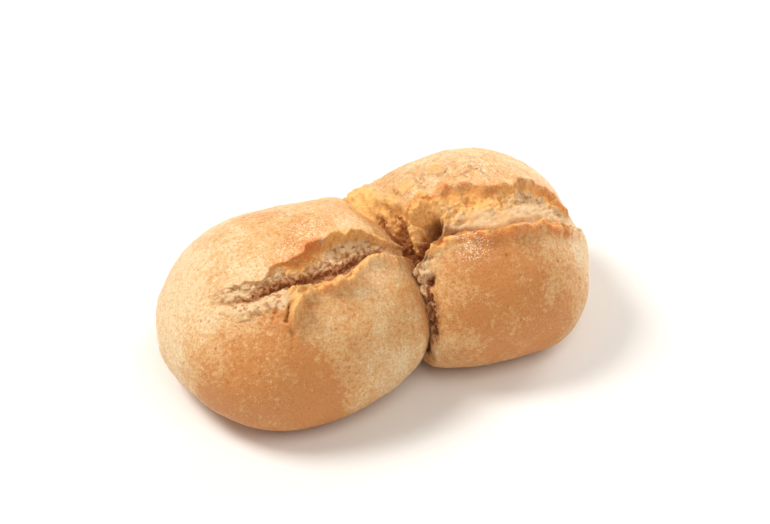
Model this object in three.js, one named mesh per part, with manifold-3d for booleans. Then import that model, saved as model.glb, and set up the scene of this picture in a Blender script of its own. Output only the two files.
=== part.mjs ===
// A double bread roll: two round pieces of dough that were set side by side, slashed lengthwise and baked into
// one. Millimetres, +Z up, +X along the roll towards the smaller lobe, -Y towards the side with the overhanging
// crust. The origin is the middle of the roll's box at the level it rests on.
//
// Each lobe is a closed skin of stations along X, and each station is a ring that starts under the roll and
// climbs the front. The rings carry the slash: its front lip, the crevice and its back lip are lines that the
// rings follow. The smaller lobe also carries the torn junction, with its hollows and strands. The two lobes are
// then joined, and the foot is cut flat.
import * as THREE from "three";
import { ImprovedNoise } from "three/addons/math/ImprovedNoise.js";
import { mergeVertices } from "three/addons/utils/BufferGeometryUtils.js";
import Module from "manifold-3d";

const { clamp, lerp, smoothstep, degToRad } = THREE.MathUtils;

// Size and outline of the two lobes. turn is how far a lobe is turned about Z, in degrees.
const WAIST_HEIGHT = 16.8; // level of a lobe's widest outline
const BELLY_DEPTH = 19.8; // how far a lobe would round off below that level, were the foot not flat
const PLAN_POWER = 2.34; // 2 is an ellipse seen from above, more is squarer
const CROWN_POWER = 2.05;
const BELLY_POWER = 2.64;
const LARGE_LOBE = { x: -30, y: 0.8, halfLength: 45.8, halfWidth: 43.2, crown: 37.2, turn: -1 };
const SMALL_LOBE = { x: 33.9, y: -0.7, halfLength: 42.2, halfWidth: 43.4, crown: 39.2, turn: -3.5 };

// The slash on each lobe, seen from above. Each line is a few [x, y] places from one end of it to the other.
// lipHeight, backHeight and depth give [x, mm] along it: the rise of both lips and the depth of the crevice.
// wallCurve gives [x, power], where a power below 1 makes the wall under the front lip drop at once.
const LARGE_SLASH = {
  frontLip: [
    [-65, -6], [-62, -12.3], [-59.9, -15.8], [-56, -19.2], [-51.8, -21.7], [-47.4, -23.9], [-43.6, -25.5],
    [-41.9, -25.7], [-40.8, -23.2], [-39.2, -19], [-37, -18], [-34.9, -20], [-28.9, -20.4], [-24.8, -21.3],
    [-19.6, -21.1], [-17.6, -19.9], [-15.6, -17], [-13.3, -16.1], [-9.2, -14.9], [-3.4, -12.5], [0, -11.5],
  ],
  crevice: [
    [-65, -3.8], [-59, -9.5], [-55, -11.6], [-50, -12.8], [-46, -13.2], [-38, -13.6], [-32, -13.6],
    [-25, -13.8], [-17.6, -12.8], [-12, -10.4], [-6, -8.2], [0, -7],
  ],
  backLip: [
    [-65, -1], [-60, -2.6], [-55.5, -4.3], [-50.4, -7.4], [-46, -9], [-39.5, -8.2], [-35.7, -8],
    [-30.9, -6.4], [-25.3, -5.2], [-19.8, -4.4], [-14, -3], [-9, -2.2], [-4, -2.4], [0, -4.4],
  ],
  lipHeight: [
    [-65, 0], [-48, 0.2], [-43, 0.7], [-40.4, 2.4], [-38, 3.2], [-34, 2.3], [-15, 2], [-6, 1.5], [0, 0],
  ],
  backHeight: [[-65, 0], [-35, 0.4], [-26, 0.9], [-10, 1.2], [0, 0.2]],
  depth: [[-65, 0], [-58, 1.8], [-46, 3.6], [-35, 5.4], [-14, 5.6], [-6, 4.6], [-2, 2.8], [2, 0]],
  wallCurve: [[-65, 2.2], [-45, 2.2], [-39, 0.8], [0, 0.8]],
};
const SMALL_SLASH = {
  frontLip: [
    [2, -17.5], [7.2, -19], [9.5, -18.8], [13, -17.6], [17, -16.8], [21.1, -17.7], [25.9, -20.4], [32.7, -23],
    [41.6, -22.6], [46.5, -22.8], [51.1, -21.4], [54.6, -21.8], [58.8, -22.6], [62, -22.4], [66, -20.6],
    [73, -14],
  ],
  crevice: [
    [2, -12.4], [13.5, -13], [21.7, -14.5], [27.6, -17.2], [35.6, -19.6], [47.5, -18.6], [54.8, -17.2],
    [64, -17], [73, -12],
  ],
  backLip: [
    [2, 2], [14, 1.6], [21.8, 0.2], [26, 0.9], [31.7, -1.4], [35.4, -3.2], [38.9, -5.6], [42.6, -7.6],
    [47.6, -6], [53.4, -4.2], [58.3, -4.5], [62, -6.6], [65.5, -10.4], [69, -11.6], [73, -10.6],
  ],
  lipHeight: [[2, 0.6], [8, 1.8], [22, 2.1], [48, 2.3], [58, 1.7], [66, 0.8], [73, 0]],
  backHeight: [[2, 0], [22, 0.5], [32, 1], [60, 0.9], [68, 0.3], [73, 0]],
  depth: [[2, 6], [13, 6.4], [22, 5.4], [40, 4.6], [58, 4], [66, 3], [70, 1.4], [73, 0]],
  wallCurve: [[2, 0.8], [73, 0.8]],
};
const LIP_ROLL = 6; // the crust turns up over this width before a lip
const LIP_FLARE = 2; // above 1 the crust turns up late
const LIP_EDGE = 0.16; // share of the wall below the front lip that is the crust's own thickness
const UNDERCUT = 0.28; // how far the wall steps back under the front lip, as a share of the depth
const OPEN_DEPTH = 3; // depth at which the slash shows nothing but crumb
const SLOPE_CURVE = 0.8; // below 1 the slope behind the crevice is steeper at its foot
const SHELF = 0.25; // share of the depth that is left where the slope meets the back lip
const SHELF_END = 0.86; // share of the slope at which the back lip's own edge starts
const LINE_GAP = 1.6; // least distance between the lines of the slash
const RAGGED = 0.8; // sideways wander of the lines
const FRONT_WANDER = { seed: 3.7, size: 5 };
const CREVICE_WANDER = { seed: 11.2, size: 9 };
const BACK_WANDER = { seed: 8.9, size: 6 };

// The small lobe's side of the cleft tore away without crust: its edge as [height, x], and the torn face's depth
const TORN_EDGE = [[0, 3.6], [12, 6], [22, 6.8], [35, 9], [44, 10.2], [48, 12.2], [51, 13.6], [53, 16.4]];
const TORN_INSET = 2.4;
const TORN_STEP = 3; // width over which the crust steps down to the torn face
const TORN_WANDER = 1.6; // how far the edge wanders, in bays of about TORN_BAY
const TORN_BAY = 5;
const SEAM_DEPTH = 3; // how far the torn face steps back where it meets the other lobe
const SEAM_REACH = 2.6; // how far from the other lobe's skin it does
const SEAM_END = [4, 14]; // y over which that fades out towards the back

// Shapes of the dough along lines from one place to another: it stands proud where rise is above 0, and is
// hollow where it is below. The first ones of each lobe are broad and shape its outline.
const LARGE_SHAPES = [
  { from: [-74, 8, 16], to: [-72, 18, 24], radius: 9, rise: 0.8 },
  { from: [-72, -14, 8], to: [-66, -22, 6], radius: 9, rise: -1.4 },
  { from: [-23, -39, 6], to: [-19, -38, 6], radius: 5, rise: -0.9 },
  { from: [-11, -38, 6], to: [-6, -36, 6], radius: 8, rise: -1.1 },
  { from: [-54, 28, 38], to: [-30, 32, 42], radius: 14, rise: -0.5 },
  { from: [-25, 31, 43], to: [-10, 32, 40], radius: 8, rise: -1.4 },
  { from: [-5, 25, 41], to: [1, 24, 39], radius: 6, rise: 1.5 },
  { from: [2, -29, 36], to: [2, -34, 24], radius: 9, rise: 1.5 },
];
const SMALL_SHAPES = [
  { from: [71, -27, 20], to: [66, -33, 12], radius: 8, rise: -0.4 },
  { from: [72, -20, 27], to: [72, -17, 29], radius: 6, rise: 0.8 },
  { from: [72, -9, 34], to: [72, -3, 36], radius: 4.6, rise: -2.6 },
  { from: [18, -39, 8], to: [38, -41, 8], radius: 9, rise: -1.3 },
  { from: [4, 9, 43], to: [5, 22, 38], radius: 9, rise: 4.4 },
  { from: [0, 26, 39], to: [4, 29, 36], radius: 6, rise: 3.2 },
  { from: [18, -7.2, 53], to: [13.6, -10, 50.6], radius: 3.2, rise: -6.5 },
  { from: [8.4, 4.4, 47.6], to: [5.8, -8, 46], radius: 3.4, rise: -4.6 },
  { from: [5, 9.4, 44.8], to: [4.3, 7.6, 44.2], radius: 2.6, rise: -3.2 },
  { from: [18.7, 2.5, 53.5], to: [12.5, -2.8, 51], radius: 2.4, rise: 2.8 },
  { from: [12.5, -2.8, 51], to: [6.3, -10.4, 46.6], radius: 2.1, rise: 5.2 },
  { from: [22.4, -4, 54.7], to: [20, -12, 53], radius: 1.9, rise: 1.9 },
  { from: [12.4, 11.5, 49], to: [8, 3.5, 47.4], radius: 1.9, rise: 2.2 },
  { from: [6.8, 15, 44.8], to: [9.4, 11, 47.4], radius: 1.9, rise: 1.8 },
  { from: [28, 12.6, 54.4], to: [30.6, 13.8, 53.9], radius: 4.4, rise: 1.7 },
  { from: [16.6, 10.8, 52], to: [18.6, 9.8, 52.6], radius: 3.2, rise: 1.5 },
];

// Relief of the crust and of the torn crumb
const CRUST_WAVES = [{ size: 33, height: 0.6 }, { size: 12, height: 0.22 }];
const CRUMB_WAVES = [{ size: 7, height: 0.9 }, { size: 3.4, height: 0.6 }];
const CRUMB_BLEND = 0.5; // below 1 the crumb's relief starts close to the lips
const RELIEF_SEED = 7.3;
const TORN_SEED = 2.2;

// Density of the mesh: stations along a lobe, and ring steps below the front lip, down to the crevice, up to the
// back lip and over the back
const STATIONS = 50;
const RING_STEPS = [21, 6, 9, 22];
const RING_EASE = 0.8; // below 1 the under side gets wider steps than the top
const LIP_HOLD = 6; // how soon, away from a lip, the rings stop following it
const SWALLOWED_STEPS = 0.06; // share of the stations that go to the end inside the other lobe
const SHOWN_LENGTH = 0.82; // share of a lobe's length, from pole to pole, that the other stations cover
const SLASH_REACH = [95, 265]; // ring angles between which the lines of the slash are looked for

const noise = new ImprovedNoise();
const BREAD = new THREE.MeshStandardMaterial({ color: 0xd09a5c, roughness: 0.72, metalness: 0 });

// Value at x on a smooth curve through a line of [x, value] places
function along(line, x) {
  const last = line.length - 1;
  const at = clamp(x, line[0][0], line[last][0]);
  let i = 1;
  while (i < last && at > line[i][0]) i += 1;
  const slopeAt = (k) => {
    const [before, after] = [line[Math.max(k - 1, 0)], line[Math.min(k + 1, last)]];
    return (after[1] - before[1]) / (after[0] - before[0]);
  };
  const [[x0, v0], [x1, v1]] = [line[i - 1], line[i]];
  const span = x1 - x0;
  const t = (at - x0) / span;
  const rest = 1 - t;
  return (
    rest * rest * (1 + 2 * t) * v0 +
    t * t * (3 - 2 * t) * v1 +
    rest * rest * t * span * slopeAt(i - 1) -
    t * t * rest * span * slopeAt(i)
  );
}

// Sum of noise waves at a point, about -1 to 1 times their heights
function relief(waves, p) {
  let sum = 0;
  for (const { size, height } of waves) {
    sum += 2 * height * noise.noise(p.x / size, p.y / size, p.z / size + RELIEF_SEED);
  }
  return sum;
}

// How far out a lobe's skin lies in a unit direction from its centre, and the skin's normal there
function lobeSkin(lobe, direction) {
  const up = new THREE.Vector3(0, 0, 1);
  const turn = degToRad(lobe.turn);
  const own = direction.clone().applyAxisAngle(up, -turn);
  const power = own.z > 0 ? CROWN_POWER : BELLY_POWER;
  const height = own.z > 0 ? lobe.crown : BELLY_DEPTH;
  const u = Math.abs(own.x) / lobe.halfLength;
  const v = Math.abs(own.y) / lobe.halfWidth;
  const w = Math.abs(own.z) / height;
  const plan = u ** PLAN_POWER + v ** PLAN_POWER;
  const reach = (plan ** (power / PLAN_POWER) + w ** power) ** (-1 / power);
  const planSlope = plan > 0 ? plan ** (power / PLAN_POWER - 1) : 0;
  const normal = new THREE.Vector3(
    (Math.sign(own.x) * planSlope * u ** (PLAN_POWER - 1)) / lobe.halfLength,
    (Math.sign(own.y) * planSlope * v ** (PLAN_POWER - 1)) / lobe.halfWidth,
    (Math.sign(own.z) * w ** (power - 1)) / height,
  );
  normal.normalize().applyAxisAngle(up, turn);
  const point = direction.clone().multiplyScalar(reach).add(new THREE.Vector3(lobe.x, lobe.y, WAIST_HEIGHT));
  return { point, normal };
}

// Skin point at a station angle (0 at the -X pole) and a ring angle (0 below, 90 degrees in front, 180 on top)
function skinAt(lobe, station, ring) {
  const across = Math.sin(station);
  return lobeSkin(
    lobe,
    new THREE.Vector3(-Math.cos(station), -across * Math.sin(ring), -across * Math.cos(ring)),
  );
}

// The slash's lines at x: they close towards the poles, keep apart and wander a little
function slashLines(lobe, slash, x) {
  const first = slash.frontLip[0][0];
  const last = slash.frontLip.at(-1)[0];
  const inside = clamp(x, first, last);
  const halfWidthAt = (s) => Math.sqrt(Math.max(1 - ((s - lobe.x) / lobe.halfLength) ** 2, 1e-4));
  const closing = Math.min(1, halfWidthAt(x) / halfWidthAt(inside));
  const wander = ({ seed, size }) => 2 * RAGGED * noise.noise(x / size, seed, 0.5);
  const crevice = along(slash.crevice, inside) + wander(CREVICE_WANDER);
  const front = Math.min(along(slash.frontLip, inside) + wander(FRONT_WANDER), crevice - LINE_GAP);
  const back = Math.max(along(slash.backLip, inside) + wander(BACK_WANDER), crevice + LINE_GAP);
  return [front, crevice, back].map((y) => y * closing);
}

// Ring angle at which a station crosses one of the slash's lines
function ringAngleOf(lobe, slash, station, line) {
  let [low, high] = SLASH_REACH.map(degToRad);
  for (let i = 0; i < 24; i++) {
    const middle = (low + high) / 2;
    const { point } = skinAt(lobe, station, middle);
    if (point.y < slashLines(lobe, slash, point.x)[line]) low = middle;
    else high = middle;
  }
  return (low + high) / 2;
}

// Ring angle of a step in a zone. Away from the slash the steps follow its lips less and less, so they stay even.
function ringAngle(zone, share, knots, typical) {
  if (zone === 0) {
    const eased = share ** RING_EASE;
    return typical[0] * eased + (knots[0] - typical[0]) * eased ** LIP_HOLD;
  }
  if (zone === 3) {
    const eased = (1 - share) ** RING_EASE;
    return 2 * Math.PI - (2 * Math.PI - typical[2]) * eased + (knots[2] - typical[2]) * eased ** LIP_HOLD;
  }
  return lerp(knots[zone - 1], knots[zone], share);
}

// Height of the skin's step over the slash. zone 0 is the front crust, 1 the wall down from the lip, 2 the slope
// up to the back lip and 3 the back crust. share is how far through its zone a point lies.
function slashStep(slash, zone, share, point, lines) {
  const lip = along(slash.lipHeight, point.x);
  const brow = along(slash.backHeight, point.x);
  const depth = along(slash.depth, point.x);
  const wallCurve = along(slash.wallCurve, point.x);
  if (point.z < WAIST_HEIGHT) return 0;
  if (zone === 0) return lip * smoothstep(point.y, lines[0] - LIP_ROLL, lines[0]) ** LIP_FLARE;
  if (zone === 1) return lerp(lip, -depth, smoothstep(share, LIP_EDGE, 1) ** wallCurve);
  if (zone === 2) {
    const slope = lerp(-depth, -SHELF * depth, share ** SLOPE_CURVE);
    return slope + (brow + SHELF * depth) * smoothstep(share, SHELF_END, 1);
  }
  return brow * (1 - smoothstep(point.y, lines[2], lines[2] + LIP_ROLL)) ** LIP_FLARE;
}

// Depth of the torn face on the small lobe's side of the cleft
function tornInset(point) {
  const bays = noise.noise(point.y / TORN_BAY, point.z / TORN_BAY, TORN_SEED);
  const edge = along(TORN_EDGE, point.z) + 2 * TORN_WANDER * bays;
  return TORN_INSET * (1 - smoothstep(point.x, edge - TORN_STEP, edge));
}

// How far the torn face steps back at a point, close to the other lobe's skin
function seamStep(point, other) {
  const spoke = point.clone().sub(new THREE.Vector3(other.x, other.y, WAIST_HEIGHT));
  const skin = lobeSkin(other, spoke.normalize());
  const gap = Math.max(point.clone().sub(skin.point).dot(skin.normal), 0);
  return SEAM_DEPTH * (1 - smoothstep(point.y, ...SEAM_END)) * Math.exp(-((gap / SEAM_REACH) ** 2));
}

// Rise of a lobe's own shapes at a point
function shapesRise(shapes, point) {
  let sum = 0;
  for (const { from, to, radius, rise } of shapes) {
    const line = new THREE.Line3(new THREE.Vector3(...from), new THREE.Vector3(...to));
    const nearest = line.closestPointToPoint(point, true, new THREE.Vector3());
    sum += rise * Math.exp(-((nearest.distanceTo(point) / radius) ** 2));
  }
  return sum;
}

// Station angles of a lobe. They run from its free end, and the few that the other lobe swallows come last.
function stationAngles(jointAt) {
  const shown = 1 - SWALLOWED_STEPS;
  const angles = [];
  for (let row = 0; row <= STATIONS; row++) {
    const t = (jointAt > 0 ? row : STATIONS - row) / STATIONS;
    const beyond = lerp(SHOWN_LENGTH, 1, (t - shown) / SWALLOWED_STEPS);
    const turned = t < shown ? (SHOWN_LENGTH * t) / shown : beyond;
    angles.push(Math.PI * (jointAt > 0 ? turned : 1 - turned));
  }
  return angles;
}

// One lobe as a closed, indexed geometry. jointAt is the side of the other lobe, and a torn one has no crust there.
function lobeGeometry(lobe, slash, shapes, { other, jointAt, torn }) {
  const ringTotal = RING_STEPS.reduce((sum, steps) => sum + steps);
  const geometry = new THREE.SphereGeometry(1, ringTotal, STATIONS);
  const position = geometry.attributes.position;
  const angles = stationAngles(jointAt);
  const knotsAt = angles.map((station) => [0, 1, 2].map((line) => ringAngleOf(lobe, slash, station, line)));
  const typical = [0, 1, 2].map((line) => knotsAt.reduce((sum, knots) => sum + knots[line], 0) / knotsAt.length);
  for (let row = 0; row <= STATIONS; row++) {
    const middle = skinAt(lobe, angles[row], Math.PI).point;
    for (let column = 0; column <= ringTotal; column++) {
      let zone = 0;
      let step = column;
      while (zone < 3 && step > RING_STEPS[zone]) step -= RING_STEPS[zone++];
      const share = step / RING_STEPS[zone];
      const { point, normal } = skinAt(lobe, angles[row], ringAngle(zone, share, knotsAt[row], typical));
      const depth = along(slash.depth, point.x);
      const open = clamp(depth / OPEN_DEPTH, 0, 1);
      const crumb = zone === 1 || zone === 2 ? open * Math.sin(Math.PI * share) ** CRUMB_BLEND : 0;
      const inset = torn ? tornInset(point) : 0;
      const bare = Math.max(crumb, inset / TORN_INSET);
      let lift = slashStep(slash, zone, share, point, slashLines(lobe, slash, point.x));
      lift += relief(CRUST_WAVES, point) * (1 - bare) + relief(CRUMB_WAVES, point) * bare;
      lift += shapesRise(shapes, point) - inset;
      if (torn) lift -= seamStep(point, other);
      if (zone === 1) point.y -= UNDERCUT * depth * Math.sin(Math.PI * share);
      point.addScaledVector(normal, lift);
      if (row === 0 || row === STATIONS) point.copy(middle);
      position.setXYZ(row * (ringTotal + 1) + column, point.x, point.y, point.z);
    }
  }
  return geometry;
}

const wasm = await Module();
wasm.setup();

// A closed three.js geometry as a solid that can be cut and joined
function solidOf(geometry) {
  const bare = geometry.clone();
  bare.deleteAttribute("normal");
  bare.deleteAttribute("uv");
  const merged = mergeVertices(bare, 1e-4);
  const corners = merged.index.array;
  const triangles = [];
  for (let i = 0; i < corners.length; i += 3) {
    const [a, b, c] = corners.slice(i, i + 3);
    if (a !== b && b !== c && c !== a) triangles.push(a, b, c);
  }
  const mesh = new wasm.Mesh({
    numProp: 3,
    vertProperties: new Float32Array(merged.attributes.position.array),
    triVerts: new Uint32Array(triangles),
  });
  return new wasm.Manifold(mesh);
}

// A solid as a three.js geometry
function geometryOf(solid) {
  const { numProp, vertProperties, triVerts } = solid.getMesh();
  const points = new Float32Array((vertProperties.length / numProp) * 3);
  for (let i = 0; i < points.length / 3; i++) {
    points.set(vertProperties.subarray(i * numProp, i * numProp + 3), i * 3);
  }
  const geometry = new THREE.BufferGeometry();
  geometry.setAttribute("position", new THREE.BufferAttribute(points, 3));
  geometry.setIndex(new THREE.BufferAttribute(triVerts, 1));
  geometry.computeVertexNormals();
  return geometry;
}

// Both lobes joined, with the foot cut flat at the origin's level
function rollGeometry() {
  const largeSide = { other: SMALL_LOBE, jointAt: 1, torn: false };
  const smallSide = { other: LARGE_LOBE, jointAt: -1, torn: true };
  const large = solidOf(lobeGeometry(LARGE_LOBE, LARGE_SLASH, LARGE_SHAPES, largeSide));
  const small = solidOf(lobeGeometry(SMALL_LOBE, SMALL_SLASH, SMALL_SHAPES, smallSide));
  const below = solidOf(new THREE.BoxGeometry(400, 400, 100).translate(0, 0, -50));
  return geometryOf(large.add(small).subtract(below));
}

const roll = new THREE.Mesh(rollGeometry(), BREAD);
roll.name = "roll";

const part = new THREE.Group();
part.add(roll);

export default part;
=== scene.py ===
"""A double bread roll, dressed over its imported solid.

The roll is two lobes of dough that were set side by side, slashed lengthwise and baked into one. Each lobe
starts as a sphere whose rows are stations along X and whose columns are rings round X. Its vertices are moved
to the lobe's skin, with the slash, the torn face in the cleft and the relief of crust and crumb, and the two
lobes are then joined. Places and sizes of the form are in millimetres, and become metres when a mesh is filled.
"""

import logging
import math
from dataclasses import dataclass, field
from enum import Enum, IntEnum

import bpy
import numpy as np
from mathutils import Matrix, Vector, noise


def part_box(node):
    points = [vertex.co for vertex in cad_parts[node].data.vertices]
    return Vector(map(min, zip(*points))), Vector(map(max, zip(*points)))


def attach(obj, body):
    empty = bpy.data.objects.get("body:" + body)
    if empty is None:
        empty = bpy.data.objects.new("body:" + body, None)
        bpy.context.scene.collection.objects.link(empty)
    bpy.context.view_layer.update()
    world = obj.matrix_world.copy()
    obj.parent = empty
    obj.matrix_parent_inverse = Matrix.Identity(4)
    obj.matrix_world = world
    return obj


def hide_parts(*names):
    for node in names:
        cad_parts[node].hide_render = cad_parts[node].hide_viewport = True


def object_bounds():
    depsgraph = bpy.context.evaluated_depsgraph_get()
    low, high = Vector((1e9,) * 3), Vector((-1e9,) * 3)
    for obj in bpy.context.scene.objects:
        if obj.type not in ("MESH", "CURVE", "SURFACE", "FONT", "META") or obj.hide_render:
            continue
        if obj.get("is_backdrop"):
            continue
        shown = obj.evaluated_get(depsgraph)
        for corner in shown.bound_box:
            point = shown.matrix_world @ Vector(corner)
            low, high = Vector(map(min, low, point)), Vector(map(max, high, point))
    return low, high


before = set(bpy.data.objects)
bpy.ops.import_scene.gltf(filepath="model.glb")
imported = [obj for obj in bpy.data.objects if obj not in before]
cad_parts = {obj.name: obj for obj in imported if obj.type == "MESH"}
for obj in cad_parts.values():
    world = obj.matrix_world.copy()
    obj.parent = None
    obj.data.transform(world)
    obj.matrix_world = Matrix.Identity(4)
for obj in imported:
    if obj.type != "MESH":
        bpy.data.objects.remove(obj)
CAD_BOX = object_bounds()

LOG = logging.getLogger("bread_roll")
MM = 0.001  # metres in a millimetre
MADE = "made"  # mask that is 1 on a lobe's own vertices, and 0 on those that a join adds
PHOTO_WIDTH = 770  # pixels
SEED = 6  # of the noise that frays the torn edges
PORE_EDGE = 2.1  # one over a pore's radius, as a share of the distance from pore to pore
FAR = 99.0  # a distance in millimetres that no finish reaches over

Place = tuple[float, float, float]  # x, y and z
Pairs = tuple[tuple[float, float], ...]  # such as places of (x, value), in order of x


class Zone(IntEnum):
    """The stretches of a lobe's ring, from under the roll over the front to the back."""

    FRONT_CRUST = 0
    WALL = 1
    SLOPE = 2
    BACK_CRUST = 3


class JointSide(Enum):
    """The end of a lobe that meets the other one."""

    PLUS_X = 1
    MINUS_X = -1


def ease(value: np.ndarray, start: float | np.ndarray, end: float | np.ndarray) -> np.ndarray:
    """Smooth step from 0, where the value is at start, to 1, where it is at end."""
    t = np.clip((value - start) / (end - start), 0.0, 1.0)
    return t * t * (3.0 - 2.0 * t)


def along(line: Pairs, x: np.ndarray) -> np.ndarray:
    """Values at x on a smooth curve through a line of (x, value) places.

    Args:
        line: Places in order of x.
        x: Where the curve is read. Beyond the line its end values hold.

    Returns:
        The curve's value at each x.
    """
    places = np.array(line)
    slopes = np.empty(len(places))
    slopes[1:-1] = (places[2:, 1] - places[:-2, 1]) / (places[2:, 0] - places[:-2, 0])
    slopes[0] = (places[1, 1] - places[0, 1]) / (places[1, 0] - places[0, 0])
    slopes[-1] = (places[-1, 1] - places[-2, 1]) / (places[-1, 0] - places[-2, 0])
    at = np.clip(x, places[0, 0], places[-1, 0])
    i = np.clip(np.searchsorted(places[:, 0], at), 1, len(places) - 1)
    x0, v0, m0 = places[i - 1, 0], places[i - 1, 1], slopes[i - 1]
    x1, v1, m1 = places[i, 0], places[i, 1], slopes[i]
    span = x1 - x0
    t = (at - x0) / span
    rest = 1.0 - t
    curve = rest**2 * (1 + 2 * t) * v0 + t**2 * (3 - 2 * t) * v1
    return curve + rest**2 * t * span * m0 - t**2 * rest * span * m1


def write_mask(piece: bpy.types.Object, name: str, values: np.ndarray) -> None:
    """Gives a piece's vertices a named value each, held between 0 and 1."""
    layers = piece.data.attributes
    layer = layers.get(name) or layers.new(name, "FLOAT", "POINT")
    layer.data.foreach_set("value", np.clip(values, 0.0, 1.0).astype(np.float32))


def fray(points: np.ndarray, sizes: Pairs) -> np.ndarray:
    """Shifts that make torn edges ragged, from pairs of a tatter's size and how far it shifts the points."""
    shifts = np.zeros(points.shape)
    for size, reach in sizes:
        shifts += reach * np.array([noise.noise_vector(Vector(spot))[:] for spot in points / size])
    return shifts


def read_mask(piece: bpy.types.Object, name: str) -> np.ndarray:
    """The named value of each of a piece's vertices."""
    values = np.empty(len(piece.data.vertices), dtype=np.float32)
    piece.data.attributes[name].data.foreach_get("value", values)
    return values


@dataclass(frozen=True)
class Wave:
    """One size of relief.

    Attributes:
        size: Width of a bump in millimetres.
        height: About the most that it rises.
    """

    size: float
    height: float


def relief(waves: tuple[Wave, ...], points: np.ndarray, seed: float = 0.0) -> np.ndarray:
    """Rise of the waves at each point, in millimetres. The seed shifts their pattern."""
    total = np.zeros(len(points))
    for wave in waves:
        spots = points / wave.size + np.array([seed, -seed, 7.3])
        total += 2 * wave.height * np.array([noise.noise(Vector(spot)) for spot in spots])
    return total


def pores(points: np.ndarray, size: float) -> np.ndarray:
    """From 0 between round pores to 1 in their middle, where size is the distance from pore to pore."""
    depth = np.empty(len(points))
    for index, spot in enumerate(points / size):
        nearest = noise.voronoi(Vector(spot))[0][0]
        depth[index] = max(0.0, 1.0 - PORE_EDGE * nearest)
    return depth


@dataclass(frozen=True)
class Fold:
    """Dough that stands proud, or a hollow, along a line in the torn junction or the crust.

    Attributes:
        start: One end, in millimetres.
        end: The other end.
        radius: How wide it is.
        rise: Height, below 0 for a hollow.
        crisp: 1 for a round back, more for a flat top with steep sides.
        painted_shade_and_stain: How much darker it is: painted shade in hollows, pits and creases, and a real
            stain on a few thin crust cracks; below 0 it takes painted shade away.
        toast_and_highlight: How much more toasted it is, partly a painted highlight on lit strands, curls and
            blisters.
        bare: How much crumb shows on it.
    """

    start: Place
    end: Place
    radius: float
    rise: float
    crisp: float = 1.0
    painted_shade_and_stain: float = 0.0
    toast_and_highlight: float = 0.0
    bare: float = 0.0

    def nearness(self, points: np.ndarray) -> np.ndarray:
        """From 0 far away to 1 on the fold's line, at each point."""
        start, end = np.array(self.start), np.array(self.end)
        way = end - start
        share = np.clip((points - start) @ way / (way @ way), 0.0, 1.0)
        gap = np.linalg.norm(points - start - share[:, None] * way, axis=1)
        return np.exp(-((gap / self.radius) ** (2 * self.crisp)))


@dataclass
class Skin:
    """The vertices of a lobe's smooth skin, and where they lie against its slash.

    Attributes:
        point: Places in millimetres, one a row.
        normal: Unit normals, one a row.
        zone: Zone of each vertex.
        share: How far through its zone each vertex lies.
        lines: Y of the slash's three lines at each vertex.
        lip_gap: How far each vertex lies from the front lip, seen from above.
        opened: How open the slash is there, from 0 to 1.
        torn: How bare the torn face is there, from 0 to 1.
    """

    point: np.ndarray
    normal: np.ndarray
    zone: np.ndarray
    share: np.ndarray
    lines: np.ndarray
    lip_gap: np.ndarray
    opened: np.ndarray
    torn: np.ndarray

    @property
    def x(self) -> np.ndarray:
        """Places along the roll."""
        return self.point[:, 0]

    @property
    def y(self) -> np.ndarray:
        """Places across the roll."""
        return self.point[:, 1]

    @property
    def cut(self) -> np.ndarray:
        """Whether each vertex is inside the slash."""
        return np.isin(self.zone, (Zone.WALL, Zone.SLOPE))

    def over(self, zone: Zone, values: np.ndarray, rest: np.ndarray | float = 0.0) -> np.ndarray:
        """The values in one zone, and the rest elsewhere."""
        return np.where(self.zone == zone, values, rest)


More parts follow.
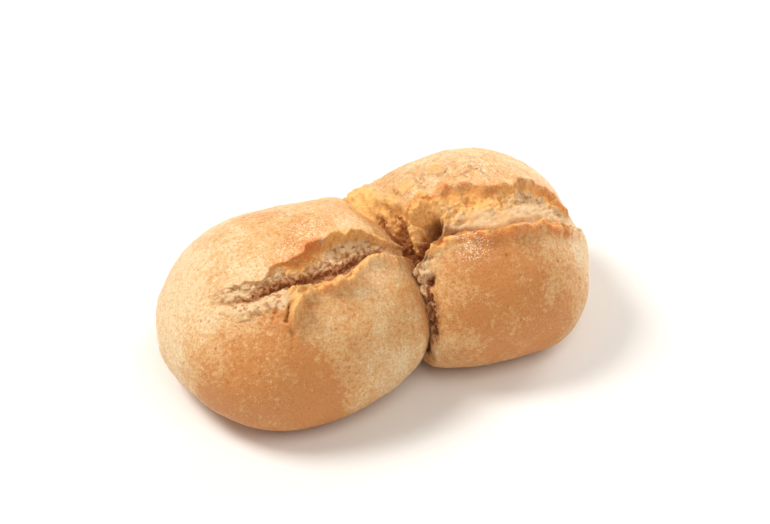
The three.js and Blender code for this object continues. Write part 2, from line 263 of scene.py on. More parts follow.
@dataclass(frozen=True)
class Slash:
    """The baker's cut along one lobe, seen from above.

    Attributes:
        front_lip: Places of the raised lip in front.
        crevice: Places of the deepest line.
        back_lip: Places of the lip at the back.
        lip_height: Rise of the front lip along X.
        back_height: Rise of the back lip along X.
        depth: Depth of the crevice along X.
        wall_curve: Shape of the wall under the front lip along X, below 1 where it drops at once.
        shelf: Share of the depth, along X, that is left where the slope meets the back lip.
        browned: Share of the slope, along X, that is toasted from the back lip down.
        brow_toast_and_highlight: How toasted the back lip is along X, partly a painted highlight.
        front_scorch: How scorched the front lip is along X.
        brow_scorch: How scorched the back lip is along X.
        shade: How much painted shade darkens the crevice along X.
        shade_reach: How far behind the crevice the painted shade reaches, along X.
        shade_lead: How much sooner, along X, the painted shade ends in front of the crevice.
        rough: Share of the slope, along X, that is smooth before the rough crumb starts.
    """

    front_lip: Pairs
    crevice: Pairs
    back_lip: Pairs
    lip_height: Pairs
    back_height: Pairs
    depth: Pairs
    wall_curve: Pairs
    shelf: Pairs
    browned: Pairs
    brow_toast_and_highlight: Pairs
    front_scorch: Pairs
    brow_scorch: Pairs
    shade: Pairs
    shade_reach: Pairs
    shade_lead: Pairs
    rough: Pairs

    LIP_ROLL = 6.0  # the crust turns up over this width before a lip
    LIP_FLARE = 2.0  # above 1 the crust turns up late
    LIP_EDGE = 0.24  # share of the wall that is the crust's own thickness
    UNDERCUT = 0.28  # how far the wall steps back under the front lip, as a share of the depth
    SHELF_END = 0.86  # share of the slope at which the back lip's own edge starts
    LINE_GAP = 1.6  # least distance between the lines
    RAGGED = ((5.0, 0.8), (1.9, 0.42))  # size and sideways wander of the lips' teeth
    BEADS = (Wave(4.5, 0.3), Wave(2.0, 0.28))  # uneven height of the lips, as a share
    RIM = 0.55  # height of the thick rim beside a lip's edge, as a share of the lip
    RIM_WIDTH = 1.25  # half the width of that rim
    RIM_SETBACK = 0.9  # how far its middle lies from the edge
    RIM_LEAST = 0.7  # its height between the beads, as a share
    GROOVE = 0.28  # depth of the crack along the crevice, as a share of the slash's depth
    GROOVE_WIDTH = 0.8  # half the width of that crack
    OPEN_DEPTH = 3.0  # depth at which the slash shows nothing but crumb

    def lines(self, lobe: "Lobe", x: np.ndarray) -> np.ndarray:
        """Y of the front lip, the crevice and the back lip at x.

        Args:
            lobe: The lobe that carries the slash.
            x: Places along the roll.

        Returns:
            Three rows, one for each line.
        """
        first, last = self.front_lip[0][0], self.front_lip[-1][0]
        inside = np.clip(x, first, last)

        def half_width(s: np.ndarray) -> np.ndarray:
            return np.sqrt(np.maximum(1 - ((s - lobe.x) / lobe.half_length) ** 2, 1e-4))

        closing = np.minimum(1.0, half_width(x) / half_width(inside))
        crevice = along(self.crevice, inside) + self.wander(x, 11.2, 1.8)
        front = np.minimum(along(self.front_lip, inside) + self.wander(x, 3.7), crevice - self.LINE_GAP)
        back = np.maximum(along(self.back_lip, inside) + self.wander(x, 8.9), crevice + self.LINE_GAP)
        return np.stack([front, crevice, back]) * closing

    def wander(self, x: np.ndarray, seed: float, stretch: float = 1.0) -> np.ndarray:
        """Sideways wander of a line along x."""
        total = np.zeros(x.shape)
        for size, reach in self.RAGGED:
            flat = [noise.noise(Vector((value / (size * stretch), seed, 0.5))) for value in x.ravel()]
            total += 2 * reach * np.array(flat).reshape(x.shape)
        return total

    def lip_gap(self, lobe: "Lobe", point: np.ndarray) -> np.ndarray:
        """How far points lie from the lobe's front lip, seen from above, which is right up to a lip's roll."""
        x, y = point[:, 0], point[:, 1]
        places = np.linspace(lobe.x - lobe.half_length, lobe.x + lobe.half_length, 400)
        line = self.lines(lobe, places)[0]
        gap = np.full(len(point), np.inf)
        for aside in np.linspace(-self.LIP_ROLL, self.LIP_ROLL, 49):
            gap = np.minimum(gap, np.hypot(aside, y - np.interp(x + aside, places, line)))
        return gap

    def rim(self, height: np.ndarray, gap: np.ndarray) -> np.ndarray:
        """The thick rim of a lip, at distances from its edge."""
        return height * np.exp(-(((gap - self.RIM_SETBACK) / self.RIM_WIDTH) ** 2))

    def step(self, skin: Skin) -> np.ndarray:
        """Height of the skin over the slash.

        Args:
            skin: The lobe's smooth skin.

        Returns:
            The rise along the skin's normal, in millimetres.
        """
        x, y, share, gap, lines = skin.x, skin.y, skin.share, skin.lip_gap, skin.lines
        lip, brow, depth, shelf = (
            along(line, x) for line in (self.lip_height, self.back_height, self.depth, self.shelf)
        )
        beads = relief(self.BEADS, np.stack([x, 0 * x, 0 * x], axis=1), 1.7)
        lip, brow = lip * (1 + beads), brow * (1 + 0.6 * beads)
        front = lip * (1 - ease(gap, 0.0, self.LIP_ROLL)) ** self.LIP_FLARE
        front_rim = self.rim(self.RIM * lip * (self.RIM_LEAST + beads), skin.over(Zone.WALL, -gap, gap))
        drop = ease(share, self.LIP_EDGE, 1.0) ** along(self.wall_curve, x)
        wall = lip - (lip + depth) * drop
        slope = -depth * (1 - (1 - shelf) * share**0.8)
        slope = slope + (brow + shelf * depth) * ease(share, self.SHELF_END, 1.0)
        back = brow * (1 - ease(y, lines[2], lines[2] + self.LIP_ROLL)) ** self.LIP_FLARE
        back_rim = self.rim(self.RIM * brow * (self.RIM_LEAST + beads), y - lines[2])
        groove = self.GROOVE * depth * np.exp(-(((y - lines[1]) / self.GROOVE_WIDTH) ** 2))
        heights = [front + front_rim, wall + front_rim - groove, slope + back_rim - groove, back + back_rim]
        return np.where(skin.point[:, 2] < Lobe.WAIST_HEIGHT, 0.0, np.choose(skin.zone, heights))


@dataclass(frozen=True)
class TornFace:
    """The small lobe's side of the cleft, which tore away without crust.

    Attributes:
        edge: Its edge as (height, x).
        inset: How far it lies below the crust.
        step: Width over which the crust steps down.
        wander: How far its edge wanders.
        folds: Hollows, strands and swellings in the junction.
    """

    edge: Pairs
    inset: float
    step: float
    wander: float
    folds: tuple[Fold, ...]

    BAY = 5.0  # size of the bays in its edge
    TEETH = 3.1  # how much smaller the teeth between them are

    def bareness(self, point: np.ndarray) -> np.ndarray:
        """From 0 on the crust to 1 on the torn face, at each point."""
        spots = point[:, 1:] / self.BAY
        bays = np.array([noise.noise(Vector((y, z, 2.2))) for y, z in spots])
        teeth = np.array([noise.noise(Vector((y * self.TEETH, z * self.TEETH, 5.1))) for y, z in spots])
        edge = along(self.edge, point[:, 2]) + 2 * self.wander * (bays + 0.4 * teeth)
        return 1 - ease(point[:, 0], edge - self.step, edge)


@dataclass(frozen=True)
class Lobe:
    """One piece of dough.

    Attributes:
        name: Its name in the log.
        x: Its middle along the roll, in millimetres.
        y: Its middle across the roll.
        half_length: Its reach along X.
        half_width: Its reach across.
        crown: Its height above the waist.
        turn: How far it is turned about Z, in degrees.
        joint: The end that meets the other lobe.
        slash: The baker's cut on it.
        marks: Small folds and cracks in its crust.
        torn: Its torn face, if it has one.
    """

    name: str
    x: float
    y: float
    half_length: float
    half_width: float
    crown: float
    turn: float
    joint: JointSide
    slash: Slash
    marks: tuple[Fold, ...] = ()
    torn: TornFace | None = None

    WAIST_HEIGHT = 16.8  # height of its centre
    BELLY_DEPTH = 19.8  # its depth below the waist, before the foot is cut
    PLAN_POWER = 2.34  # 2 for an ellipse, and more for a squarer outline: seen from above,
    CROWN_POWER = 2.05  # in a section above the waist,
    BELLY_POWER = 2.64  # and in a section below it
    RING_SEARCH = (95, 265)  # ring angles, in degrees, between which the slash's lines lie
    HALVINGS = 20  # steps of the search for a line's ring angle

    def skin(self, direction: np.ndarray) -> tuple[np.ndarray, np.ndarray]:
        """The smooth skin in some directions from the lobe's centre.

        Args:
            direction: Unit directions, one a row.

        Returns:
            The points in millimetres, and the unit normals there.
        """
        c, s = math.cos(math.radians(self.turn)), math.sin(math.radians(self.turn))
        turned = np.array([[c, -s, 0.0], [s, c, 0.0], [0.0, 0.0, 1.0]])
        own = direction @ turned
        above = own[:, 2] > 0
        power = np.where(above, self.CROWN_POWER, self.BELLY_POWER)
        height = np.where(above, self.crown, self.BELLY_DEPTH)
        u, v = np.abs(own[:, 0]) / self.half_length, np.abs(own[:, 1]) / self.half_width
        w = np.abs(own[:, 2]) / height
        plan = np.maximum(u**self.PLAN_POWER + v**self.PLAN_POWER, 1e-12)
        reach = (plan ** (power / self.PLAN_POWER) + w**power) ** (-1 / power)
        plan_slope = plan ** (power / self.PLAN_POWER - 1)
        normal = np.stack(
            [
                np.sign(own[:, 0]) * plan_slope * u ** (self.PLAN_POWER - 1) / self.half_length,
                np.sign(own[:, 1]) * plan_slope * v ** (self.PLAN_POWER - 1) / self.half_width,
                np.sign(own[:, 2]) * w ** (power - 1) / height,
            ],
            axis=1,
        )
        normal /= np.linalg.norm(normal, axis=1, keepdims=True)
        point = direction * reach[:, None] + np.array([self.x, self.y, self.WAIST_HEIGHT])
        return point, normal @ turned.T

    def outside(self, points: np.ndarray) -> np.ndarray:
        """About how far points lie outside the smooth skin, below 0 inside it, in millimetres."""
        spoke = points - np.array([self.x, self.y, self.WAIST_HEIGHT])
        length = np.linalg.norm(spoke, axis=1)
        skin, normal = self.skin(spoke / length[:, None])
        return np.einsum("ij,ij->i", points - skin, normal)

    def skin_at(self, station: np.ndarray, ring: np.ndarray) -> tuple[np.ndarray, np.ndarray]:
        """The smooth skin at station angles from the -X pole and ring angles from under the roll."""
        across = np.sin(station)
        direction = np.stack([-np.cos(station), -across * np.sin(ring), -across * np.cos(ring)], axis=1)
        return self.skin(direction)

    def knots(self, stations: np.ndarray) -> np.ndarray:
        """Ring angles at which each station crosses the slash's three lines, one row for each station."""
        angles = np.empty((len(stations), 3))
        for line in range(3):
            low, high = (np.full(len(stations), math.radians(angle)) for angle in self.RING_SEARCH)
            for _ in range(self.HALVINGS):
                middle = (low + high) / 2
                point, _normal = self.skin_at(stations, middle)
                before = point[:, 1] < self.slash.lines(self, point[:, 0])[line]
                low = np.where(before, middle, low)
                high = np.where(before, high, middle)
            angles[:, line] = (low + high) / 2
        return angles


@dataclass
class LobeMesh:
    """The fine mesh of one lobe, and what its vertices know about crust and crumb.

    Attributes:
        lobe: The lobe's form.
        neighbour: The lobe that it is joined to.
        stations: Rows of vertices along X.
        ring_steps: Columns below the front lip, down to the crevice, up to the back lip and over the back.
        points: The finished vertices in millimetres.
        masks: Named values from 0 to 1 for each vertex.
    """

    lobe: Lobe
    neighbour: Lobe
    stations: int = 232
    ring_steps: tuple[int, int, int, int] = (66, 26, 54, 72)
    points: np.ndarray = field(default_factory=lambda: np.empty((0, 3)))
    masks: dict[str, np.ndarray] = field(default_factory=dict)

    RING_EASE = 1.5  # above 1 the steps get finer toward the lips
    LIP_HOLD = 4  # how soon, away from a lip, the rings stop following it
    SWALLOWED_STEPS = 0.03  # share of the stations that go to the end inside the other lobe
    SHOWN_LENGTH = 0.82  # share of the length, from pole to pole, that the other stations cover
    CRUST_WAVES = (Wave(33, 0.6), Wave(12, 0.22), Wave(4.2, 0.08), Wave(1.8, 0.05))
    CRUMB_WAVES = (Wave(7, 0.6), Wave(3.2, 0.5), Wave(1.5, 0.42), Wave(0.8, 0.3))
    PORES = ((3.6, 1.5), (1.8, 0.8))  # distance from pore to pore, and depth
    TOAST_REACH = 1.6  # how far from a lip the crust is toasted and painted highlit
    SMOOTH = 0.35  # relief of the smooth crumb, as a share
    SEAM_DEPTH = 3.4  # how far the torn face steps back where the lobes meet
    SEAM_REACH = 2.6  # how far from the other lobe's skin it does
    SEAM_END = (4, 14)  # y over which that fades out towards the back
    INSET_END = (8, 20)  # y over which the torn face comes level with the crust
    FRAYS = ((3.0, 1.3), (1.2, 0.7))  # size and reach of the torn folds' raggedness
    TATTERS = ((2.4, 0.55), (1.0, 0.3))  # size and reach of the lips' sideways raggedness
    TATTER_WIDTH = 2.2  # how far from a lip that goes
    TATTER_HEIGHT = 24  # and the height above which there is any
    LEAST = 0.02  # a share so small that it doesn't show
    SMOOTH_CLEFT = (10.0, 16.0)  # distance in front of the middle over which the torn slope gets smooth
    PALE_CLEFT = (13.0, 16.0)  # and over which a fold can take the seam's painted shade away
    SHADE_AND_STAIN_BARENESS = (0.3, 0.9)  # bareness over which the torn face takes the painted shade and stain of its folds
    TORN_TOAST = 2.4  # how toasted the edge of the torn face is
    SHADE_WAVES = (Wave(2.2, 0.4), Wave(0.9, 0.35))  # wander of the painted shade beside the crevice, as a share
    BROW_WAVES = (Wave(3.0, 0.5),)  # how unevenly the back lip is toasted and painted highlit
    OCHRE_WAVES = (Wave(6.0, 0.3), Wave(2.4, 0.2))  # how unevenly the slope is
    OCHRE_FRONT = (-16.0, -6.0)  # y over which the torn face turns ochre towards the back
    WALL_WIDTH = 4  # about the width of the wall,
    SLOPE_WIDTH = 9  # and of the slope
    TOASTED_HEIGHTS = (26.0, 34.0)  # heights over which the lips' toast and painted highlight set in
    FULL_LIP = 2.4  # a lip of this height gets its full toast and painted highlight
    DEEP = 8.0  # a hollow of this depth gets the full painted shade

    def station_angles(self) -> np.ndarray:
        """Station angles from the -X pole, wide only in the part that the other lobe swallows."""
        t = np.linspace(0.0, 1.0, self.stations + 1)
        shown = 1 - self.SWALLOWED_STEPS
        beyond = self.SHOWN_LENGTH + (1 - self.SHOWN_LENGTH) * (t - shown) / self.SWALLOWED_STEPS
        turned = np.where(t < shown, self.SHOWN_LENGTH * t / shown, beyond)
        if self.lobe.joint is JointSide.MINUS_X:
            turned = 1 - turned[::-1]
        return math.pi * turned

    def ring_angles(self, zone: np.ndarray, share: np.ndarray, knots: np.ndarray) -> np.ndarray:
        """Ring angle of every vertex.

        Args:
            zone: Zone of each column.
            share: How far through its zone each column lies.
            knots: Ring angles of the three lines at each station.

        Returns:
            One row for each station and one column for each ring step.
        """
        typical = knots.mean(axis=0)
        rising = 1 - (1 - share) ** self.RING_EASE
        front = typical[0] * rising + (knots[:, :1] - typical[0]) * rising**self.LIP_HOLD
        falling = 1 - share**self.RING_EASE
        back = 2 * math.pi - (2 * math.pi - typical[2]) * falling
        back = back + (knots[:, 2:] - typical[2]) * falling**self.LIP_HOLD
        wall = knots[:, :1] + (knots[:, 1:2] - knots[:, :1]) * share
        slope = knots[:, 1:2] + (knots[:, 2:] - knots[:, 1:2]) * share
        return np.choose(zone[None, :], [front, wall, slope, back])

    def smooth_skin(self) -> Skin:
        """The lobe's smooth skin, before anything rises from it."""
        lobe, slash = self.lobe, self.lobe.slash
        zone = np.repeat(np.arange(4), self.ring_steps)
        share = np.concatenate([np.arange(steps) / steps for steps in self.ring_steps])
        stations = self.station_angles()
        rings = self.ring_angles(zone, share, lobe.knots(stations))
        point, normal = lobe.skin_at(np.repeat(stations, len(zone)), rings.ravel())
        return Skin(
            point=point,
            normal=normal,
            zone=np.tile(zone, len(stations)),
            share=np.tile(share, len(stations)),
            lines=slash.lines(lobe, point[:, 0]),
            lip_gap=slash.lip_gap(lobe, point),
            opened=np.clip(along(slash.depth, point[:, 0]) / slash.OPEN_DEPTH, 0.0, 1.0),
            torn=lobe.torn.bareness(point) if lobe.torn else np.zeros(len(point)),
        )

    def shape(self) -> None:
        """Works out every vertex and its masks."""
        skin, torn = self.smooth_skin(), self.lobe.torn
        crumb = np.where(skin.cut, skin.opened * np.sin(math.pi * skin.share) ** 0.5, 0.0)
        grit = self.grit(skin)
        lift = self.lobe.slash.step(skin)
        self.roughen(lift, skin, np.maximum(crumb, skin.torn), grit)
        gap = np.maximum(self.neighbour.outside(skin.point), 0.0)
        seam_and_shade = np.exp(-((gap / self.SEAM_REACH) ** 2)) * (1 - ease(skin.y, *self.SEAM_END))
        marks = [(fold, fold.nearness(skin.point)) for fold in self.lobe.marks]
        tears = []
        if torn:
            lift -= torn.inset * skin.torn * (1 - ease(skin.y, *self.INSET_END))
            lift -= self.SEAM_DEPTH * seam_and_shade
            frayed = skin.point + fray(skin.point, self.FRAYS)
            tears = [(fold, fold.nearness(frayed)) for fold in torn.folds]
        for fold, near in marks + tears:
            lift += fold.rise * near
        self.points = self.raised(skin, lift)
        self.masks = self.surface_masks(skin, lift)
        # Painted shade of the folds' hollows and creases, with a real stain on a few thin crust cracks.
        painted_shade_and_stain = sum(fold.painted_shade_and_stain * near for fold, near in marks)
        painted_shade_and_stain = painted_shade_and_stain + ease(skin.torn, *self.SHADE_AND_STAIN_BARENESS) * sum(fold.painted_shade_and_stain * near for fold, near in tears)
        # Painted shade along the seam where the torn face meets the other lobe, taken away where pale folds
        # lie.
        self.masks["seam_and_shade"] = seam_and_shade * skin.torn + np.minimum(painted_shade_and_stain, 0.0) * ease(-skin.y, *self.PALE_CLEFT)
        self.masks["grit"] = grit
        # Painted shade beside the crevice and in the folds' hollows, with a real stain on a few thin crust
        # cracks.
        self.masks["shade_and_stain"] = self.crevice_shade(skin) + painted_shade_and_stain
        self.masks["crumb"] = self.masks["crumb"] + sum(fold.bare * near for fold, near in marks + tears)
        # Toast from the folds and the torn edge; on strands, curls and blisters it is partly a painted
        # highlight.
        toasted_and_highlit = sum(fold.toast_and_highlight * near for fold, near in marks + tears)
        toasted_and_highlit = toasted_and_highlit + self.TORN_TOAST * skin.torn * (1 - skin.torn) * (1 - crumb)
        self.masks["toast_and_highlight"] = self.masks["toast_and_highlight"] + toasted_and_highlit
        self.masks[MADE] = np.ones(len(lift))

    def grit(self, skin: Skin) -> np.ndarray:
        """How rough the crumb is, less on the smooth part of the slope."""
        smooth = along(self.lobe.slash.rough, skin.x)
        rough = self.SMOOTH + (1 - self.SMOOTH) * ease(skin.share, smooth - 0.1, smooth + 0.2)
        torn = skin.torn * (1 - 0.8 * ease(-skin.y, *self.SMOOTH_CLEFT))
        return np.maximum(skin.over(Zone.SLOPE, rough, 1.0), torn)

    def roughen(self, lift: np.ndarray, skin: Skin, bare: np.ndarray, grit: np.ndarray) -> None:
        """Adds the crust's waves, and the crumb's lumps and pores, to the lift of each vertex.

        Args:
            lift: How far the vertices stand off the smooth skin, which is changed.
            skin: The lobe's smooth skin.
            bare: How bare the crumb is at each vertex.
            grit: How rough it is.
        """
        lift += relief(self.CRUST_WAVES, skin.point) * (1 - bare)
        rough = bare > self.LEAST
        spots = skin.point[rough]
        coarse = relief(self.CRUMB_WAVES, spots, 4.0)
        for size, deep in self.PORES:
            coarse -= deep * pores(spots, size)
        lift[rough] += bare[rough] * coarse * grit[rough]

    def raised(self, skin: Skin, lift: np.ndarray) -> np.ndarray:
        """The finished places, with the wall stepped back under the front lip and the lips made ragged.

        Args:
            skin: The lobe's smooth skin.
            lift: How far the vertices stand off it.

        Returns:
            Places in millimetres by station and ring step.
        """
        slash = self.lobe.slash
        places = skin.point + skin.normal * lift[:, None]
        under = slash.UNDERCUT * along(slash.depth, skin.x) * np.sin(math.pi * skin.share)
        places[:, 1] -= skin.over(Zone.WALL, under)
        gap = np.minimum(skin.lip_gap, np.abs(skin.y - skin.lines[2]))
        lips = skin.opened * np.exp(-((gap / self.TATTER_WIDTH) ** 2))
        ragged = (lips > self.LEAST) & (skin.point[:, 2] > self.TATTER_HEIGHT)
        places[ragged] += lips[ragged, None] * fray(skin.point[ragged], self.TATTERS)
        return places.reshape(-1, sum(self.ring_steps), 3)

    def crevice_shade(self, skin: Skin) -> np.ndarray:
        """How much painted shade darkens the crumb beside the crevice."""
        slash = self.lobe.slash
        past = skin.y - skin.lines[1]
        past = np.where(past < 0, past * along(slash.shade_lead, skin.x), past)
        reach = along(slash.shade_reach, skin.x) * (1 + relief(self.SHADE_WAVES, skin.point, 12.0))
        shade = along(slash.shade, skin.x) * skin.opened * np.exp(-((past / np.maximum(reach, 0.2)) ** 2))
        behind_rim = ease(skin.share, slash.LIP_EDGE, 1.8 * slash.LIP_EDGE)
        return np.where(skin.cut, shade * skin.over(Zone.WALL, behind_rim, 1.0), 0.0)

    def surface_masks(self, skin: Skin, lift: np.ndarray) -> dict[str, np.ndarray]:
        """What the finish needs to know at each vertex.

        Args:
            skin: The lobe's smooth skin.
            lift: How far each vertex stands off it.

        Returns:
            Masks from 0 to 1 by name.
        """
        slash, x, share, opened = self.lobe.slash, skin.x, skin.share, skin.opened
        above = ease(skin.point[:, 2], *self.TOASTED_HEIGHTS)
        front_gap = skin.over(Zone.WALL, self.WALL_WIDTH * share, FAR)
        front_gap = skin.over(Zone.FRONT_CRUST, skin.lip_gap, front_gap)
        back_gap = skin.over(Zone.SLOPE, self.SLOPE_WIDTH * (1 - share), FAR)
        back_gap = skin.over(Zone.BACK_CRUST, skin.y - skin.lines[2], back_gap)
        lip_rise = along(slash.lip_height, x) / self.FULL_LIP
        # The lips' toast, partly a painted highlight where they catch the light.
        toast_and_highlight = opened * lip_rise * np.exp(-np.maximum(front_gap, 0.0) / self.TOAST_REACH)
        brow = along(slash.brow_toast_and_highlight, x) * (0.8 + relief(self.BROW_WAVES, skin.point, 6.0))
        toast_and_highlight = np.maximum(toast_and_highlight, brow * opened * np.exp(-np.maximum(back_gap, 0.0) / self.TOAST_REACH))
        scorch = along(slash.front_scorch, x) * opened * np.exp(-((front_gap - 1.2) ** 2) / 2.6)
        brow = along(slash.brow_scorch, x) * opened
        scorch = np.maximum(scorch, brow * np.exp(-((np.abs(back_gap) / 2.6) ** 2)))
        wall = skin.over(Zone.WALL, ease(share, slash.LIP_EDGE, 2 * slash.LIP_EDGE))
        slope = skin.over(Zone.SLOPE, 1 - ease(share, slash.SHELF_END, 0.99))
        browned = along(slash.browned, x) * (1 + relief(self.OCHRE_WAVES, skin.point, 3.0))
        browned = np.maximum(browned, 0.02)
        ochre = skin.over(Zone.SLOPE, ease(share, 1 - 1.6 * browned, 1 - 0.3 * browned))
        return {
            "crumb": np.maximum(opened * (wall + slope), skin.torn),
            "toast_and_highlight": toast_and_highlight * above,
            "scorch": scorch * above,
            # Painted shade, darker the deeper a vertex lies below the smooth skin.
            "hollow_shade": np.clip(-lift / self.DEEP, 0.0, 1.0),
            "ochre": np.maximum(ochre, skin.torn * ease(skin.y, *self.OCHRE_FRONT)),
        }

    def build(self) -> bpy.types.Object:
        """Adds the sphere, moves its vertices to the lobe's skin and returns it, in metres."""
        self.shape()
        columns = sum(self.ring_steps)
        bpy.ops.mesh.primitive_uv_sphere_add(segments=columns, ring_count=self.stations, radius=1.0)
        sphere = bpy.context.object
        sphere.name = self.lobe.name
        unit = np.empty(len(sphere.data.vertices) * 3, dtype=np.float32)
        sphere.data.vertices.foreach_get("co", unit)
        unit = unit.reshape(-1, 3).astype(float)
        row = np.rint(np.arccos(np.clip(unit[:, 2], -1, 1)) / math.pi * self.stations).astype(int)
        column = np.rint(np.arctan2(unit[:, 1], unit[:, 0]) / (2 * math.pi) * columns).astype(int) % columns
        placed = self.points[row, column] * MM
        sphere.data.vertices.foreach_set("co", placed.ravel())
        for name, values in self.masks.items():
            shaped = values.reshape(len(self.points), columns)[row, column]
            write_mask(sphere, name, shaped)
        sphere.data.update()
        LOG.info("%s: %d vertices", self.lobe.name, len(placed))
        return sphere


LARGE_SLASH = Slash(
    front_lip=(
        (-65, -6), (-62, -12.3), (-59.9, -15.8), (-56, -19.2), (-51.8, -21.7), (-47.4, -23.9),
        (-44.6, -25.6), (-43.2, -26), (-42, -25), (-41, -23.6), (-40, -22.3), (-38.2, -21.2),
        (-35.6, -20.3), (-32.8, -20),
        (-28.9, -20.4), (-24.8, -21.3), (-19.6, -21.1), (-17.5, -19.6), (-15.4, -16.6), (-13.3, -15.8),
        (-9.2, -14.6), (-3.4, -12.2), (0, -12.4),
    ),
    crevice=(
        (-65, -3.8), (-59, -9.5), (-55, -11.6), (-50, -12.8), (-46, -13.2), (-38, -13.6), (-32, -13.6),
        (-25, -13.8), (-17.6, -12.8), (-12, -10.4), (-6, -8.2), (0, -7),
    ),
    back_lip=(
        (-65, -1), (-60, -2.6), (-55.5, -4.3), (-50.4, -7.4), (-46, -9), (-39.5, -8.2), (-35.7, -8),
        (-30.9, -6.4), (-25.3, -5.2), (-19.8, -4.4), (-14, -3), (-9, -2.2), (-4, -2.4), (0, -4.4),
    ),
    lip_height=(
        (-65, 0), (-48, 0.2), (-43.4, 0.9), (-41, 2.1), (-38, 2.5), (-34, 2.3), (-15, 2.2), (-6, 1.8), (2, 0.4),
    ),
    back_height=((-65, 0), (-35, 0.4), (-26, 1), (-10, 1.5), (0, 1)),
    depth=((-65, 0), (-58, 1.8), (-46, 3.6), (-35, 5.4), (-14, 5.6), (-6, 5), (-1, 4.4), (3, 1)),
    wall_curve=((-65, 2.2), (-45, 2.2), (-39, 0.8), (0, 0.8)),
    shelf=((-65, 0.25), (-38, 0.25), (-28, 0.42), (0, 0.45)),
    browned=((-65, 0.05), (-45, 0.1), (-38, 0.4), (-29, 0.75), (-22, 0.35), (-14, 0.14), (0, 0.1)),
    brow_toast_and_highlight=((-65, 0), (-46, 0.05), (-36, 0.8), (-27, 0.9), (-19, 1), (-8, 1.2), (0, 1)),
    front_scorch=((-65, 0), (-40, 0.2), (-30, 0.6), (-22, 0.6), (-16, 0.3), (0, 0.4)),
    brow_scorch=((-65, 0), (-44, 0.3), (-36, 1), (-25, 1.1), (-19, 0.2), (-8, 0.1), (0, 0.1)),
    shade=((-65, 0.5), (-52, 1), (-44, 1), (-37, 0.9), (-10, 0.9), (0, 0.8)),
    shade_reach=((-65, 1.2), (-50, 2.0), (-40, 2.6), (-32, 3.6), (-10, 3.6), (0, 2.4)),
    shade_lead=((-65, 2), (-41, 1.8), (-36, 0.25), (0, 0.2)),
    rough=((-65, 0), (0, 0)),
)
SMALL_SLASH = Slash(
    front_lip=(
        (2, -17.5), (7.2, -19), (9.5, -18.8), (13, -17.6), (17, -16.8), (21.1, -17.7), (25.9, -20.4),
        (32.7, -23), (41.6, -22.6), (46.5, -22.8), (51.1, -21.4), (54.6, -21.8), (58.8, -22.6),
        (62, -22.4), (66, -20.6), (73, -14),
    ),
    crevice=(
        (2, -12.4), (13.5, -13), (21.7, -14.5), (27.6, -17.2), (35.6, -19.6), (47.5, -18.6), (54.8, -17.2),
        (64, -17), (73, -12),
    ),
    back_lip=(
        (2, 2), (14, 1.6), (21.8, 0.2), (26, 0.9), (31.7, -1.4), (35.4, -3.2), (38.9, -5.6), (42.6, -7.6),
        (47.6, -6), (53.4, -4.2), (58.3, -4.5), (62, -6.6), (65.5, -10.4), (69, -11.6), (73, -10.6),
    ),
    lip_height=((2, 0.6), (8, 1.8), (22, 2.1), (48, 2.3), (58, 1.7), (66, 0.8), (73, 0)),
    back_height=((2, 0), (22, 0.5), (32, 1), (60, 0.9), (68, 0.3), (73, 0)),
    depth=((2, 6), (13, 6.4), (22, 5.4), (40, 4.6), (58, 4), (66, 3), (70, 1.4), (73, 0)),
    wall_curve=((2, 0.8), (73, 0.8)),
    shelf=((2, 0.2), (73, 0.3)),
    browned=((2, 0.9), (18, 0.8), (30, 0.62), (44, 0.55), (52, 0.3), (66, 0.3), (73, 0.2)),
    brow_toast_and_highlight=((2, 0.5), (18, 0.3), (32, 0.35), (46, 0.6), (54, 0.2), (62, 0.5), (73, 0.3)),
    front_scorch=((2, 0), (10, 0.1), (14, 0.7), (22, 1), (45, 1), (62, 0.8), (73, 0.3)),
    brow_scorch=((2, 0.2), (24, 0.7), (40, 0.6), (50, 0.3), (60, 0.8), (73, 0.6)),
    shade=((2, 0.9), (14, 0.8), (24, 0.35), (40, 0.15), (46, 0.4), (52, 0.1), (73, 0.2)),
    shade_reach=((2, 3), (20, 2.4), (30, 1.6), (73, 1.2)),
    shade_lead=((2, 0.6), (73, 0.6)),
    rough=((2, 0), (18, 0.02), (26, 0.2), (34, 0.42), (60, 0.4), (73, 0.2)),
)
